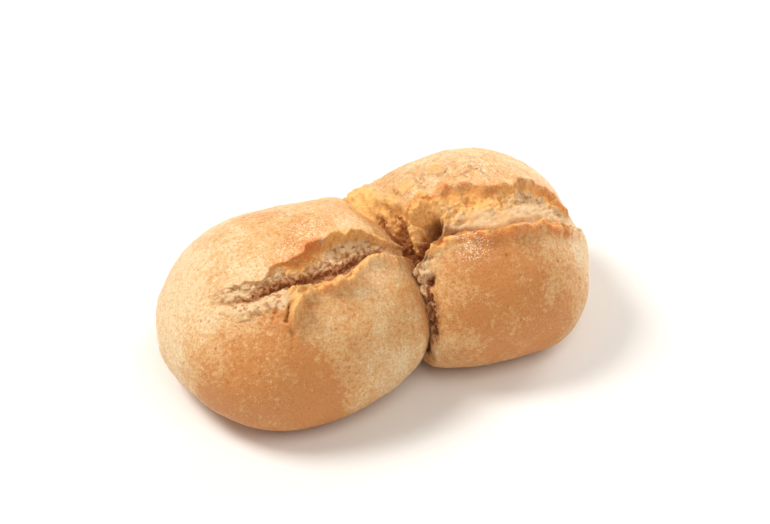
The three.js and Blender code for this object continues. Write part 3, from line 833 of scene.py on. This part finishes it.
JUNCTION = TornFace(
    edge=((0, 3.6), (12, 6), (22, 6.8), (35, 9), (44, 10.2), (48, 12.2), (51, 13.6), (53, 16.4)),
    inset=2.4,
    step=2.3,
    wander=1.2,
    folds=(
        Fold((4, 9, 43), (5, 22, 38), 9, 4.0),
        Fold((18.2, -7.2, 53), (14.2, -10, 51), 2.8, -6.5, 1.4, 1.5),
        Fold((16.4, -6.8, 52.7), (12.8, -10, 50.6), 2.2, -2.6, 1.2, 1.1),
        Fold((11, -12.6, 49), (6, -14.5, 45.2), 2.4, -4.0, 1, 0.9),
        Fold((8.4, 4.4, 47.6), (5.8, -8, 46), 3.2, -4.8, 1.3, 0.8),
        Fold((3.6, 6, 43.6), (4.2, -12, 44.6), 2.2, -2.6, 1, 0.5),
        Fold((5, 9.4, 44.8), (4.3, 7.6, 44.2), 1.9, -3.2, 1.2, 0.7),
        Fold((8.2, 8.8, 47.5), (8.6, 7.8, 47.9), 0.9, -1.8, 1, 0.5),
        Fold((18.7, 2.5, 53.5), (12.5, -2.8, 51), 1.9, 2.8, 1, -0.4, 1, -1),
        Fold((12.5, -2.8, 51), (6.3, -10.4, 46.6), 1.7, 5.8, 1, -1, 1, -1),
        Fold((16.6, -0.2, 52.8), (8.6, -9.4, 48.2), 0.5, 0.9),
        Fold((17.8, 3, 53), (8.2, -6, 48.2), 0.5, 0.9),
        Fold((15.2, -3.4, 52.3), (14.2, -5.2, 51.6), 1.0, -2.0, 1, 0.6),
        Fold((12.6, -8, 50.6), (8.6, -11.6, 48.2), 1.3, 2.6),
        Fold((22.4, -4, 54.7), (20, -12, 53), 1.5, 1.9),
        Fold((17.4, -1.6, 53.2), (21.4, -1.8, 54.4), 1.3, 2.1),
        Fold((12.4, 11.5, 49), (8, 3.5, 47.4), 1.7, 2.2),
        Fold((6.8, 15, 44.8), (9.4, 11, 47.4), 1.6, 1.8),
        Fold((5.2, 21, 39), (7.2, 18.5, 43), 1.5, 1.8),
        Fold((26, -8.4, 54.6), (27.4, -7.2, 54.9), 1.4, -1.6, 1, 0.4),
        Fold((31.2, -6.4, 55), (33, -7.6, 55), 1.3, -1.4, 1, 0.4),
        Fold((36.2, -8.2, 55), (38, -9.4, 54.8), 1.2, -1.2, 1, 0.35),
        Fold((24.6, -13, 53.4), (27, -12.8, 54), 1.2, -1.3, 1, 0.45),
        Fold((40.6, -11.4, 54.2), (45, -10.8, 53.6), 0.9, -0.9, 1, 0.3),
        Fold((8.6, -17.4, 46), (7.4, -21.6, 43.2), 2.9, 0.3, 1, -0.9),
        Fold((7.0, -26, 40.5), (5.2, -36, 24), 3.0, -2.2, 1.2, 1.0),
        Fold((9.0, -26.5, 40.5), (7, -36, 26), 4.0, -0.8, 2, 1.2),
    ),
)
LARGE_MARKS = (
    Fold((-74, 8, 16), (-72, 18, 24), 9, 0.8),
    Fold((-72, -14, 8), (-66, -22, 6), 9, -1.4),
    Fold((-23, -39, 6), (-19, -38, 6), 5, -0.9),
    Fold((-11, -38, 6), (-6, -36, 6), 8, -1.1),
    Fold((-54, 28, 38), (-30, 32, 42), 14, -0.5),
    Fold((-25, 31, 43), (-10, 32, 40), 8, -1.4),
    Fold((-5, 25, 41), (1, 24, 39), 6, 1.5),
    Fold((2, -29, 36), (2, -34, 24), 9, 1.5),
    Fold((-41.4, -22.4, 47.8), (-43.4, -26, 45.4), 0.8, -1.5, 1, 0.9),
    Fold((-43.4, -26, 45.4), (-43.2, -29.6, 42.4), 0.55, -0.9, 1, 0.35),
    Fold((-34.4, -18, 50.6), (-38.2, -17.2, 50.7), 1.1, 2.4, 1, 0, 0.8, -1),
    Fold((-38.2, -17.2, 50.7), (-40.2, -18.6, 49.8), 0.9, 1.9, 1, 0, 0.7, -0.8),
    Fold((-40.6, -27, 45.2), (-41.4, -31.4, 41.4), 0.8, 0.9, 1, 0, 0, 0.2),
    Fold((-42.8, -29.6, 41.8), (-45, -33.4, 37.6), 0.6, -0.4, 1, 0.2),
    Fold((-40.4, -27.4, 44.8), (-35.2, -28.6, 45.4), 0.6, -0.35, 1, 0.15),
    Fold((-35, -28.8, 45), (-32.4, -33.4, 40), 0.6, -0.4, 1, 0.15),
)
SMALL_MARKS = (
    Fold((71, -27, 20), (66, -33, 12), 8, -0.4),
    Fold((72, -20, 27), (72, -17, 29), 6, 0.8),
    Fold((72, -9, 34), (72, -3, 36), 4.6, -2.6),
    Fold((18, -39, 8), (38, -41, 8), 9, -1.3),
    Fold((0, 26, 39), (4, 29, 36), 6, 3.0),
    Fold((28.2, 11.6, 54.4), (29.2, 12, 54.3), 4.4, 1.9, 2, 0, 0.4),
    Fold((16.4, 10.8, 52.2), (17.6, 10.2, 52.7), 3.7, 1.6, 2, 0, 0.6),
    Fold((22.6, 15.6, 52.5), (21.2, 4, 54.1), 1.2, -1.4, 1, 0.05, 0, 0.7),
    Fold((24, 20.8, 51), (33, 20.4, 51.6), 0.9, -0.7, 1, 0.25),
    Fold((22, -16.6, 52), (15, -18, 49.6), 1.2, -0.8, 1, 0.1, 0.5),
    Fold((13.2, -18.6, 48.6), (20, -19.4, 50.6), 1.6, 0.8, 1, 0, 0.5),
)
LARGE_LOBE = Lobe("large_lobe", -30, 0.8, 45.8, 43.2, 37.2, -1, JointSide.PLUS_X, LARGE_SLASH, LARGE_MARKS)
SMALL_LOBE = Lobe(
    "small_lobe", 33.9, -0.7, 42.2, 43.4, 39.2, -3.5, JointSide.MINUS_X, SMALL_SLASH, SMALL_MARKS, JUNCTION
)


def only(*pieces: bpy.types.Object) -> None:
    """Selects these objects alone and makes the first one active."""
    bpy.ops.object.select_all(action="DESELECT")
    for piece in pieces:
        piece.select_set(True)
    bpy.context.view_layer.objects.active = pieces[0]


@dataclass(frozen=True)
class Tint:
    """A finish's colour as it shows in daylight.

    Attributes:
        red: Red from 0 to 255.
        green: Green from 0 to 255.
        blue: Blue from 0 to 255.
    """

    red: int
    green: int
    blue: int

    def linear(self) -> tuple[float, float, float, float]:
        """The colour as Blender's shaders count it."""
        parts = [value / 255 for value in (self.red, self.green, self.blue)]
        bright = [part / 12.92 if part <= 0.04045 else ((part + 0.055) / 1.055) ** 2.4 for part in parts]
        return (*bright, 1.0)


class NodeBench:
    """A material's node tree, with short calls for the nodes that the finishes use."""

    def __init__(self, name: str) -> None:
        """Starts an empty material with its output and one principled shader."""
        self.material = bpy.data.materials.new(name)
        self.material.use_nodes = True
        self.tree = self.material.node_tree
        self.shader = self.tree.nodes["Principled BSDF"]
        self.place = self.node("ShaderNodeTexCoord").outputs["Object"]

    def node(self, kind: str, **settings: object) -> bpy.types.Node:
        """Adds a node and sets its properties."""
        added = self.tree.nodes.new(kind)
        for name, value in settings.items():
            setattr(added, name, value)
        return added

    def plug(self, source: object, target: bpy.types.NodeSocket) -> None:
        """Links a socket, or sets a number or colour, on a target socket."""
        if isinstance(source, bpy.types.NodeSocket):
            self.tree.links.new(source, target)
        else:
            target.default_value = source

    def attribute(self, name: str) -> bpy.types.NodeSocket:
        """A mask that the mesh carries."""
        return self.node("ShaderNodeAttribute", attribute_name=name).outputs["Fac"]

    def grain(self, size_mm: float, detail: float = 3.0, rough: float = 0.55) -> bpy.types.NodeSocket:
        """Noise from 0 to 1 with bumps of a size, how many finer sizes follow, and how strong they are."""
        texture = self.node("ShaderNodeTexNoise")
        texture.inputs["Scale"].default_value = 1 / (size_mm * MM)
        texture.inputs["Detail"].default_value = detail
        texture.inputs["Roughness"].default_value = rough
        self.plug(self.place, texture.inputs["Vector"])
        return texture.outputs["Fac"]

    def cells(self, size_mm: float) -> bpy.types.NodeSocket:
        """Distance from the middles of random cells of a size."""
        texture = self.node("ShaderNodeTexVoronoi")
        texture.inputs["Scale"].default_value = 1 / (size_mm * MM)
        self.plug(self.place, texture.inputs["Vector"])
        return texture.outputs["Distance"]

    def dots(self, size_mm: float, edge: tuple, patch_mm: float, patch: tuple) -> bpy.types.NodeSocket:
        """Round dots in patches, from 0 to 1.

        Args:
            size_mm: Distance from dot to dot.
            edge: Distances from a dot's middle over which it sets in.
            patch_mm: Size of the patches.
            patch: Noise from 0 to 1 over which a patch sets in.

        Returns:
            The dots' socket.
        """
        return self.times(self.ramp(self.cells(size_mm), *edge), self.ramp(self.grain(patch_mm), *patch))

    def near(self, place_mm: Place, radius_mm: float) -> bpy.types.NodeSocket:
        """From 0 to 1 within a radius of a place in the roll's own frame."""
        gap = self.node("ShaderNodeVectorMath", operation="DISTANCE")
        gap.inputs[1].default_value = [value * MM for value in place_mm]
        self.plug(self.place, gap.inputs[0])
        return self.ramp(gap.outputs["Value"], radius_mm * MM, 0.55 * radius_mm * MM)

    def plan_gap(self, x_mm: float, y_mm: float) -> bpy.types.NodeSocket:
        """Distance in metres from an upright line through the roll, with a slight wander."""
        flat = self.node("ShaderNodeVectorMath", operation="MULTIPLY")
        self.plug(self.place, flat.inputs[0])
        flat.inputs[1].default_value = (1.0, 1.0, 0.0)
        gap = self.node("ShaderNodeVectorMath", operation="DISTANCE")
        self.plug(flat.outputs["Vector"], gap.inputs[0])
        gap.inputs[1].default_value = (x_mm * MM, y_mm * MM, 0.0)
        wander = self.ramp(self.grain(4.0, 2.0), 0.3, 0.7, -0.6 * MM, 0.6 * MM)
        return self.sum("ADD", gap.outputs["Value"], wander)

    def ramp(self, value: object, start: float, end: float, low: float = 0.0, high: float = 1.0) -> object:
        """A number stretched from start and end to low and high, and held there."""
        stretch = self.node("ShaderNodeMapRange", clamp=True, interpolation_type="SMOOTHSTEP")
        for socket, number in zip(("From Min", "From Max", "To Min", "To Max"), (start, end, low, high)):
            stretch.inputs[socket].default_value = number
        self.plug(value, stretch.inputs["Value"])
        return stretch.outputs["Result"]

    def sum(self, operation: str, first: object, second: object) -> bpy.types.NodeSocket:
        """A math node's result."""
        math_node = self.node("ShaderNodeMath", operation=operation)
        self.plug(first, math_node.inputs[0])
        self.plug(second, math_node.inputs[1])
        return math_node.outputs[0]

    def times(self, first: object, second: object) -> bpy.types.NodeSocket:
        """The product of two numbers."""
        return self.sum("MULTIPLY", first, second)

    def mix(self, share: object, first: object, second: object) -> bpy.types.NodeSocket:
        """Two colours mixed by a share."""
        mixer = self.node("ShaderNodeMix", data_type="RGBA")
        colours = [socket for socket in mixer.inputs if socket.type == "RGBA"]
        self.plug(share, mixer.inputs["Factor"])
        self.plug(first, colours[0])
        self.plug(second, colours[1])
        return next(socket for socket in mixer.outputs if socket.type == "RGBA")

    def paint(self, share: object, under: object, tint: Tint) -> bpy.types.NodeSocket:
        """A tint laid over a colour by a share."""
        return self.mix(share, under, tint.linear())

    def bump(self, height: object, deep_mm: float, under: object | None = None) -> bpy.types.NodeSocket:
        """Adds a bump of a depth, on top of another one if given."""
        bumper = self.node("ShaderNodeBump")
        bumper.inputs["Distance"].default_value = deep_mm * MM
        self.plug(height, bumper.inputs["Height"])
        if under is not None:
            self.plug(under, bumper.inputs["Normal"])
        return bumper.outputs["Normal"]


@dataclass(frozen=True)
class Patch:
    """A stretch of crust, or a small mark in it, that differs from the rest.

    Attributes:
        middle: Its middle in millimetres.
        reach: How far it goes.
        strength: How strong it is, below 0 where it is less than the rest.
    """

    middle: Place
    reach: float
    strength: float


@dataclass(frozen=True)
class BakedFinish:
    """Crust and crumb of the roll.

    Attributes:
        golden: The crust's main colour.
        pale_and_highlit: Floury and less baked crust, and a painted highlight on the small lobe's right front.
        brown: The most baked crust.
        toasted_and_highlit: The raised lips of the slash, toasted, and brightened as a painted highlight where
            they catch the light.
        scorched: Spots on the lips that baked most.
        flour_and_glints: Specks of flour, and painted glints where light catches the crust.
        crumb: The torn crumb.
        ochre: Torn crumb that baked on.
        shade_brown: Painted shade in the crumb's open pores and beside the crevice, and the colour of a few
            thin crust cracks.
        deep_shade: Painted shade on crumb far inside a hollow, deep in the crevice and along the seam.
        fleck: Small dark specks of bran.
        blisters: Thin bubbles of crust, placed as seen from above.
        spots: Marks at their own places.
    """

    golden: Tint = Tint(228, 180, 120)
    pale_and_highlit: Tint = Tint(238, 211, 165)
    brown: Tint = Tint(212, 142, 76)
    toasted_and_highlit: Tint = Tint(255, 198, 114)
    scorched: Tint = Tint(228, 138, 66)
    flour_and_glints: Tint = Tint(255, 228, 202)
    crumb: Tint = Tint(232, 200, 156)
    ochre: Tint = Tint(250, 196, 120)
    shade_brown: Tint = Tint(172, 110, 62)
    deep_shade: Tint = Tint(128, 66, 24)
    fleck: Tint = Tint(176, 94, 48)
    blisters: tuple[Patch, ...] = (
        Patch((28.7, 11.8, 54), 4.7, 0.7),
        Patch((17, 10.6, 52), 4.0, 0.7),
        Patch((34.6, 18.4, 52), 3.0, 0.4),
        Patch((22.4, 20.2, 51), 2.4, 0.4),
    )
    spots: tuple[Patch, ...] = (
        Patch((35, -29.7, 46.4), 0.9, 0.8),
        Patch((46.9, -33.4, 41.8), 0.6, 0.7),
        Patch((53.2, -33.1, 39.1), 0.8, 0.8),
        Patch((12, -36.7, 30.6), 1.1, 0.8),
        Patch((34.5, -42.5, 27.8), 0.7, 0.6),
        Patch((59.6, -34.4, 31.7), 0.7, 0.6),
        Patch((-75, 2.8, 24.3), 0.9, 0.6),
        Patch((-73.6, -7, 27), 0.7, 0.5),
        Patch((-62.6, -33.4, 14.4), 1.2, 0.45),
        Patch((-60.4, -34.8, 13.4), 1.0, 0.45),
    )

    def crust_colour(self, bench: NodeBench) -> bpy.types.NodeSocket:
        """The crust's colour on a material's bench, from pale to brown, with flour, painted glints and specks.
        """
        bake_and_highlight, flour_and_glints, toast_and_highlight = (bench.attribute(name) for name in ("bake_and_highlight", "flour_and_glints", "toast_and_highlight"))
        fine = bench.grain(1.5, 5.0, 0.75)
        baked_and_highlit = bench.sum("ADD", bake_and_highlight, bench.ramp(bench.grain(9.0, 5.0, 0.6), 0.3, 0.7, -0.22, 0.22))
        baked_and_highlit = bench.sum("ADD", baked_and_highlit, bench.ramp(fine, 0.3, 0.7, -0.34, 0.34))
        colour = bench.paint(bench.ramp(baked_and_highlit, 0.0, 0.5), self.pale_and_highlit.linear(), self.golden)
        colour = bench.paint(bench.ramp(baked_and_highlit, 0.45, 1.0), colour, self.brown)
        # Toasted lips, partly a painted highlight.
        edge = bench.times(toast_and_highlight, bench.ramp(fine, 0.25, 0.65, 0.5, 1.2))
        colour = bench.paint(bench.ramp(edge, 0.1, 0.8, 0.0, 0.8), colour, self.toasted_and_highlit)
        colour = bench.paint(self.scorch(bench), colour, self.scorched)
        colour = bench.paint(bench.ramp(bench.grain(0.7, 3.0, 0.7), 0.45, 0.7, 0.0, 0.5), colour, self.fleck)
        cracks = bench.times(bench.ramp(self.flakes(bench), 0.06, 0.01), bench.attribute("flaky"))
        colour = bench.paint(bench.times(cracks, 0.45), colour, self.fleck)
        # Flour specks, partly painted glints where light catches the crust.
        flour_and_glint_dots = bench.times(bench.dots(0.66, (0.5, 0.25), 1.3, (0.4, 0.54)), flour_and_glints)
        colour = bench.paint(bench.ramp(flour_and_glint_dots, 0.1, 0.7, 0.0, 0.9), colour, self.flour_and_glints)
        pits = bench.dots(1.9, (0.24, 0.1), 7, (0.42, 0.62))
        # Painted glints: pale dots that stand in for light catching the crust.
        glints = bench.dots(1.1, (0.24, 0.1), 4, (0.44, 0.6))
        specks = bench.dots(5.5, (0.13, 0.07), 14, (0.5, 0.62))
        colour = bench.paint(bench.times(pits, 0.5), colour, self.brown)
        colour = bench.paint(bench.times(glints, 0.5), colour, self.flour_and_glints)
        colour = bench.paint(bench.times(specks, 0.6), colour, self.fleck)
        for blister in self.blisters:
            share = bench.times(self.blister_edge(bench, blister), 0.5 * blister.strength)
            colour = bench.paint(share, colour, self.brown)
        for spot in self.spots:
            share = bench.times(bench.near(spot.middle, spot.reach), spot.strength)
            colour = bench.paint(share, colour, self.fleck)
        return colour

    def blister_edge(self, bench: NodeBench, blister: Patch) -> bpy.types.NodeSocket:
        """The thin line round a blister, broken here and there."""
        gap, reach = bench.plan_gap(*blister.middle[:2]), blister.reach * MM
        outer = bench.ramp(gap, 1.1 * reach, 0.98 * reach)
        inner = bench.ramp(gap, 0.86 * reach, 0.98 * reach)
        return bench.times(bench.times(outer, inner), bench.ramp(bench.grain(2.6, 3.0), 0.4, 0.6, 0.2, 1.0))

    def scorch(self, bench: NodeBench) -> bpy.types.NodeSocket:
        """Share of the scorched colour, in spots."""
        spots = bench.ramp(bench.grain(2.0, 4.0, 0.65), 0.38, 0.62, 0.35, 1.25)
        return bench.ramp(bench.times(bench.attribute("scorch"), spots), 0.1, 1.0, 0.0, 0.9)

    def flakes(self, bench: NodeBench) -> bpy.types.NodeSocket:
        """Distance from the thin cracks between flakes of crust, in shares of a flake."""
        warp = bench.node("ShaderNodeTexNoise")
        warp.inputs["Scale"].default_value = 1 / (5 * MM)
        warp.inputs["Detail"].default_value = 4.0
        bench.plug(bench.place, warp.inputs["Vector"])
        push = bench.node("ShaderNodeVectorMath", operation="MULTIPLY_ADD")
        bench.plug(warp.outputs["Color"], push.inputs[0])
        push.inputs[1].default_value = (6 * MM, 6 * MM, 6 * MM)
        bench.plug(bench.place, push.inputs[2])
        texture = bench.node("ShaderNodeTexVoronoi", feature="DISTANCE_TO_EDGE")
        texture.inputs["Scale"].default_value = 1 / (5.5 * MM)
        bench.plug(push.outputs["Vector"], texture.inputs["Vector"])
        closed = bench.ramp(bench.grain(4.0, 2.0), 0.46, 0.58, 0.0, 0.2)
        return bench.sum("ADD", texture.outputs["Distance"], closed)

    def crumb_colour(self, bench: NodeBench) -> bpy.types.NodeSocket:
        """The torn crumb's colour on a material's bench, with painted shade in its pores and hollows."""
        ochre, hollow_shade, grit = (bench.attribute(name) for name in ("ochre", "hollow_shade", "grit"))
        patches = bench.sum("ADD", ochre, bench.ramp(bench.grain(3.2, 4.0, 0.65), 0.3, 0.7, -0.35, 0.35))
        colour = bench.paint(bench.ramp(patches, 0.15, 0.95), self.crumb.linear(), self.ochre)
        colour = bench.paint(self.scorch(bench), colour, self.scorched)
        # Painted shade in the crumb's pores.
        pore_shade = bench.times(bench.ramp(bench.grain(2.0, 4.0, 0.65), 0.54, 0.36), 0.85)
        pore_shade = bench.times(pore_shade, bench.ramp(grit, 0.3, 1.0, 0.25, 1.0))
        pore_shade = bench.times(pore_shade, bench.ramp(ochre, 0.2, 0.8, 1.0, 0.55))
        colour = bench.paint(pore_shade, colour, self.shade_brown)
        # Painted shade deep in the hollows.
        return bench.paint(bench.ramp(hollow_shade, 0.5, 1.1, 0.0, 0.8), colour, self.deep_shade)

    def material(self) -> bpy.types.Material:
        """Builds the node tree of the roll's one material."""
        bench = NodeBench("baked_roll")
        crumb, shade_and_stain, seam_and_shade = (bench.attribute(name) for name in ("crumb", "shade_and_stain", "seam_and_shade"))
        colour = bench.mix(bench.ramp(crumb, 0.25, 0.7), self.crust_colour(bench), self.crumb_colour(bench))
        # Painted shade beside the crevice, in hollows and along the seam, with a real stain from a few thin
        # crust cracks.
        shade = bench.times(shade_and_stain, bench.ramp(bench.grain(1.4, 4.0, 0.7), 0.36, 0.64, 0.35, 1.35))
        colour = bench.paint(bench.ramp(shade, 0.05, 0.8, 0.0, 0.85), colour, self.shade_brown)
        deep = bench.ramp(shade, 0.6, 1.1, 0.0, 0.9)
        deep = bench.sum("MAXIMUM", deep, bench.ramp(seam_and_shade, 0.35, 1.0, 0.0, 0.9))
        colour = bench.paint(deep, colour, self.deep_shade)
        bench.plug(colour, bench.shader.inputs["Base Color"])
        bench.plug(bench.ramp(crumb, 0.2, 0.8, 0.42, 0.85), bench.shader.inputs["Roughness"])
        surface = bench.bump(bench.grain(2.2, 6.0, 0.7), 0.5)
        surface = bench.bump(bench.grain(0.8, 3.0, 0.6), 0.22, surface)
        cracks = bench.times(bench.ramp(self.flakes(bench), 0.0, 0.1, -1.0, 0.0), bench.attribute("flaky"))
        surface = bench.bump(cracks, 0.4, surface)
        for blister in self.blisters:
            gap, reach = bench.plan_gap(*blister.middle[:2]), blister.reach * MM
            surface = bench.bump(bench.ramp(gap, 1.05 * reach, 0.7 * reach), 0.6 * blister.strength, surface)
        bench.plug(surface, bench.shader.inputs["Normal"])
        bench.shader.inputs["Specular IOR Level"].default_value = 0.4
        bench.shader.inputs["Subsurface Weight"].default_value = 0.1
        bench.shader.inputs["Subsurface Radius"].default_value = (1.0, 0.5, 0.22)
        bench.shader.inputs["Subsurface Scale"].default_value = 1.2 * MM
        return bench.material


@dataclass
class BreadRoll:
    """The whole roll: both lobes joined into one closed skin with a flat foot.

    Attributes:
        lobes: The two lobes.
        finish: What the roll is dressed in.
        patches: Where the crust is browner or paler; the pale patch on the small lobe's right front is a
            painted highlight.
        flour_and_glints: Where flour lies on the crust, and where painted glints go.
        flaky: Where the crust is cracked into flakes.
    """

    lobes: tuple[Lobe, Lobe] = (LARGE_LOBE, SMALL_LOBE)
    finish: BakedFinish = BakedFinish()
    patches: tuple[Patch, ...] = (
        Patch((-54, -38, 16), 26, 1.4),
        Patch((-18, -44, 14), 22, -0.3),
        Patch((34, -42, 26), 26, 0.75),
        Patch((30, -24, 50), 14, 0.5),
        Patch((-34, -33, 40), 9, -0.2),
        Patch((-66, 6, 32), 28, -0.55),
        Patch((-34, -10, 40), 40, 0.15),
        Patch((-30, -32, 38), 22, 0.12),
        Patch((-8, -36, 22), 14, -0.3),
        Patch((-22, 2, 53), 9, 0.3),
        Patch((-30, 10, 54), 24, 0.1),
        Patch((38, 14, 54), 24, -0.15),
        # Painted highlight: paler crust on the small lobe's right front, where light glances off.
        Patch((69.5, -22, 29), 10, -0.8),
        Patch((12, 18, 48), 12, 0.35),
    )
    flour_and_glints: tuple[Patch, ...] = (
        Patch((-22, 2, 53), 8, 1.0),
        Patch((-34, -4, 53), 5, 0.7),
        Patch((26, -22.5, 50.4), 8, 1.2),
        Patch((42, 6, 55), 11, 0.7),
        Patch((21.8, 10, 53.4), 3.4, 0.9),
        Patch((-50, -2, 48), 9, 0.35),
    )
    flaky: tuple[Patch, ...] = (
        Patch((40, 7, 55), 10, 1.3),
        Patch((20, 22, 49), 7, 0.7),
        Patch((-24, 16, 51), 7, 0.6),
    )

    FOOT_BROWNING = (9.0, 1.0)  # the crust browns from this height down to this one
    BAKE = 0.35  # how baked the crust is between the patches
    BAKE_WAVES = (Wave(26, 0.14), Wave(9, 0.1))  # how unevenly it is

    def build(self) -> bpy.types.Object:
        """Makes the mesh of the whole roll and returns its object, at the origin and in metres."""
        large, small = self.lobes
        meshes = [LobeMesh(large, small), LobeMesh(small, large)]
        pieces = [mesh.build() for mesh in meshes]
        roll = self.join(pieces[0], pieces[1], "UNION")
        bpy.ops.mesh.primitive_cube_add(size=0.4, location=(0, 0, -0.2))
        roll = self.join(roll, bpy.context.object, "DIFFERENCE")
        roll.name = "bread_roll_skin"
        roll.data.name = roll.name
        self.fit_to_frame(roll)
        self.mend_masks(roll, list(meshes[0].masks))
        self.bake_and_highlight(roll)
        only(roll)
        bpy.ops.object.shade_smooth()
        LOG.info("%s: %d faces", roll.name, len(roll.data.polygons))
        return roll

    def join(self, piece: bpy.types.Object, tool: bpy.types.Object, operation: str) -> bpy.types.Object:
        """Joins or cuts a piece with another one, which is then removed, and returns the piece."""
        only(piece)
        cutter = piece.modifiers.new("join", "BOOLEAN")
        cutter.operation = operation
        cutter.object = tool
        cutter.solver = "MANIFOLD"
        bpy.ops.object.modifier_apply(modifier=cutter.name)
        bpy.data.objects.remove(tool)
        return piece

    def fit_to_frame(self, roll: bpy.types.Object) -> None:
        """Brings the skin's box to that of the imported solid."""
        places = np.array([vertex.co[:] for vertex in roll.data.vertices])
        low, high = places.min(axis=0), places.max(axis=0)
        frame_low, frame_high = (np.array(corner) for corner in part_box("roll"))
        scale = (frame_high - frame_low) / (high - low)
        LOG.info("scale to the frame: %s", np.round(scale, 4))
        roll.data.vertices.foreach_set("co", (frame_low + (places - low) * scale).ravel())
        roll.data.update()

    def mend_masks(self, roll: bpy.types.Object, names: list[str]) -> None:
        """Gives the vertices that the joins added the mean of their neighbours' masks, by their names."""
        edges = np.empty(len(roll.data.edges) * 2, dtype=np.int32)
        roll.data.edges.foreach_get("vertices", edges)
        ends = np.concatenate([edges.reshape(-1, 2), edges.reshape(-1, 2)[:, ::-1]])
        made = read_mask(roll, MADE)
        ends = ends[(made[ends[:, 0]] < 0.5) & (made[ends[:, 1]] > 0.5)]
        weight = np.bincount(ends[:, 0], minlength=len(made))
        for name in names:
            values = read_mask(roll, name)
            total = np.bincount(ends[:, 0], weights=values[ends[:, 1]], minlength=len(made))
            write_mask(roll, name, np.where(made > 0.5, values, total / np.maximum(weight, 1)))

    def bake_and_highlight(self, roll: bpy.types.Object) -> None:
        """Gives each vertex how baked, floury and flaky its crust is, with a painted highlight in the bake and
        painted glints with the flour.
        """
        places = np.array([vertex.co[:] for vertex in roll.data.vertices]) / MM
        high, low = self.FOOT_BROWNING
        baked_and_highlit = self.BAKE + relief(self.BAKE_WAVES, places, 9.0) + self.spread(self.patches, places)
        baked_and_highlit = np.maximum(baked_and_highlit, 1 - ease(places[:, 2], low, high))
        write_mask(roll, "bake_and_highlight", baked_and_highlit)
        write_mask(roll, "flour_and_glints", self.spread(self.flour_and_glints, places))
        write_mask(roll, "flaky", self.spread(self.flaky, places))

    def spread(self, patches: tuple[Patch, ...], places: np.ndarray) -> np.ndarray:
        """Sum of patches at places in millimetres."""
        total = np.zeros(len(places))
        for patch in patches:
            gap = np.linalg.norm(places - np.array(patch.middle), axis=1) / patch.reach
            total += patch.strength * np.exp(-(gap**2))
        return total

    def dress(self, roll: bpy.types.Object) -> None:
        """Puts the finish on the roll."""
        roll.data.materials.clear()
        roll.data.materials.append(self.finish.material())


@dataclass(frozen=True)
class Lamp:
    """A soft area light.

    Attributes:
        name: Its name.
        place: Where it hangs, in metres.
        size: Its width in metres.
        watts: Its power.
        colour: Its colour.
    """

    name: str
    place: Place
    size: float
    watts: float
    colour: Place

    def hang(self) -> None:
        """Adds the light, aimed at the roll."""
        bpy.ops.object.light_add(type="AREA", location=self.place)
        lamp = bpy.context.object
        lamp.name = self.name
        lamp.data.energy = self.watts
        lamp.data.size = self.size
        lamp.data.color = self.colour
        aim = Vector((0.0, 0.0, 0.03)) - lamp.location
        lamp.rotation_euler = aim.to_track_quat("-Z", "Y").to_euler()


@dataclass
class Studio:
    """Floor, lights and the camera at the photograph's angle.

    Attributes:
        lamps: The lights.
        aim: The place that the camera looks at, in metres.
        eye: Where the camera is.
        focal_pixels: The lens in pixels of the photograph's frame.
    """

    lamps: tuple[Lamp, ...] = (
        Lamp("key", (-0.5, 0.4, 0.9), 0.4, 9.9, (1.0, 0.97, 0.92)),
        Lamp("fill", (0.15, -0.55, 1.0), 0.8, 4.8, (1.0, 0.93, 0.84)),
        Lamp("rim", (0.8, 0.3, 0.3), 0.4, 4.5, (1.0, 0.98, 0.95)),
    )
    aim: Place = (0.00570, 0.00246, 0.02767)
    eye: Place = (-0.2170, -0.4703, 0.5100)
    focal_pixels: float = 2075.0

    def build(self) -> None:
        """Sets the stage."""
        self.lay_floor()
        for lamp in self.lamps:
            lamp.hang()
        self.set_camera()
        world = bpy.data.worlds.new("soft_room")
        world.use_nodes = True
        sky = world.node_tree.nodes["Background"].inputs
        sky["Color"].default_value = (1.0, 0.95, 0.88, 1.0)
        sky["Strength"].default_value = 0.32
        bpy.context.scene.world = world
        bpy.context.scene.view_settings.view_transform = "Standard"

    def lay_floor(self) -> None:
        """Adds the pale floor."""
        bpy.ops.mesh.primitive_plane_add(size=6.0, location=(0, 0, 0))
        floor = bpy.context.object
        floor.name = "studio_floor"
        bench = NodeBench("pale_floor")
        bench.shader.inputs["Base Color"].default_value = (0.9, 0.9, 0.9, 1.0)
        bench.shader.inputs["Roughness"].default_value = 0.8
        floor.data.materials.append(bench.material)
        floor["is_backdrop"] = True

    def set_camera(self) -> None:
        """Adds the camera."""
        data = bpy.data.cameras.new("photo_camera")
        camera = bpy.data.objects.new("photo_camera", data)
        bpy.context.collection.objects.link(camera)
        camera.location = self.eye
        camera.rotation_euler = (Vector(self.aim) - Vector(self.eye)).to_track_quat("-Z", "Y").to_euler()
        data.sensor_width = 36.0
        data.lens = self.focal_pixels / PHOTO_WIDTH * data.sensor_width
        data.clip_start = 0.01
        bpy.context.scene.camera = camera


def main() -> None:
    """Builds the roll and the studio, and reports each piece."""
    logging.basicConfig(level=logging.INFO, format="%(name)s: %(message)s")
    bpy.ops.object.select_all(action="DESELECT")
    noise.seed_set(SEED)
    bread = BreadRoll()
    roll = bread.build()
    bread.dress(roll)
    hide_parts("roll")
    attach(roll, "root")
    Studio().build()
    boxes = {"cad": CAD_BOX, "visual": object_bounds()}
    boxes = {name: [list(corner) for corner in box] for name, box in boxes.items()}
    LOG.info("boxes: %s", boxes)


if __name__ == "__main__":
    main()
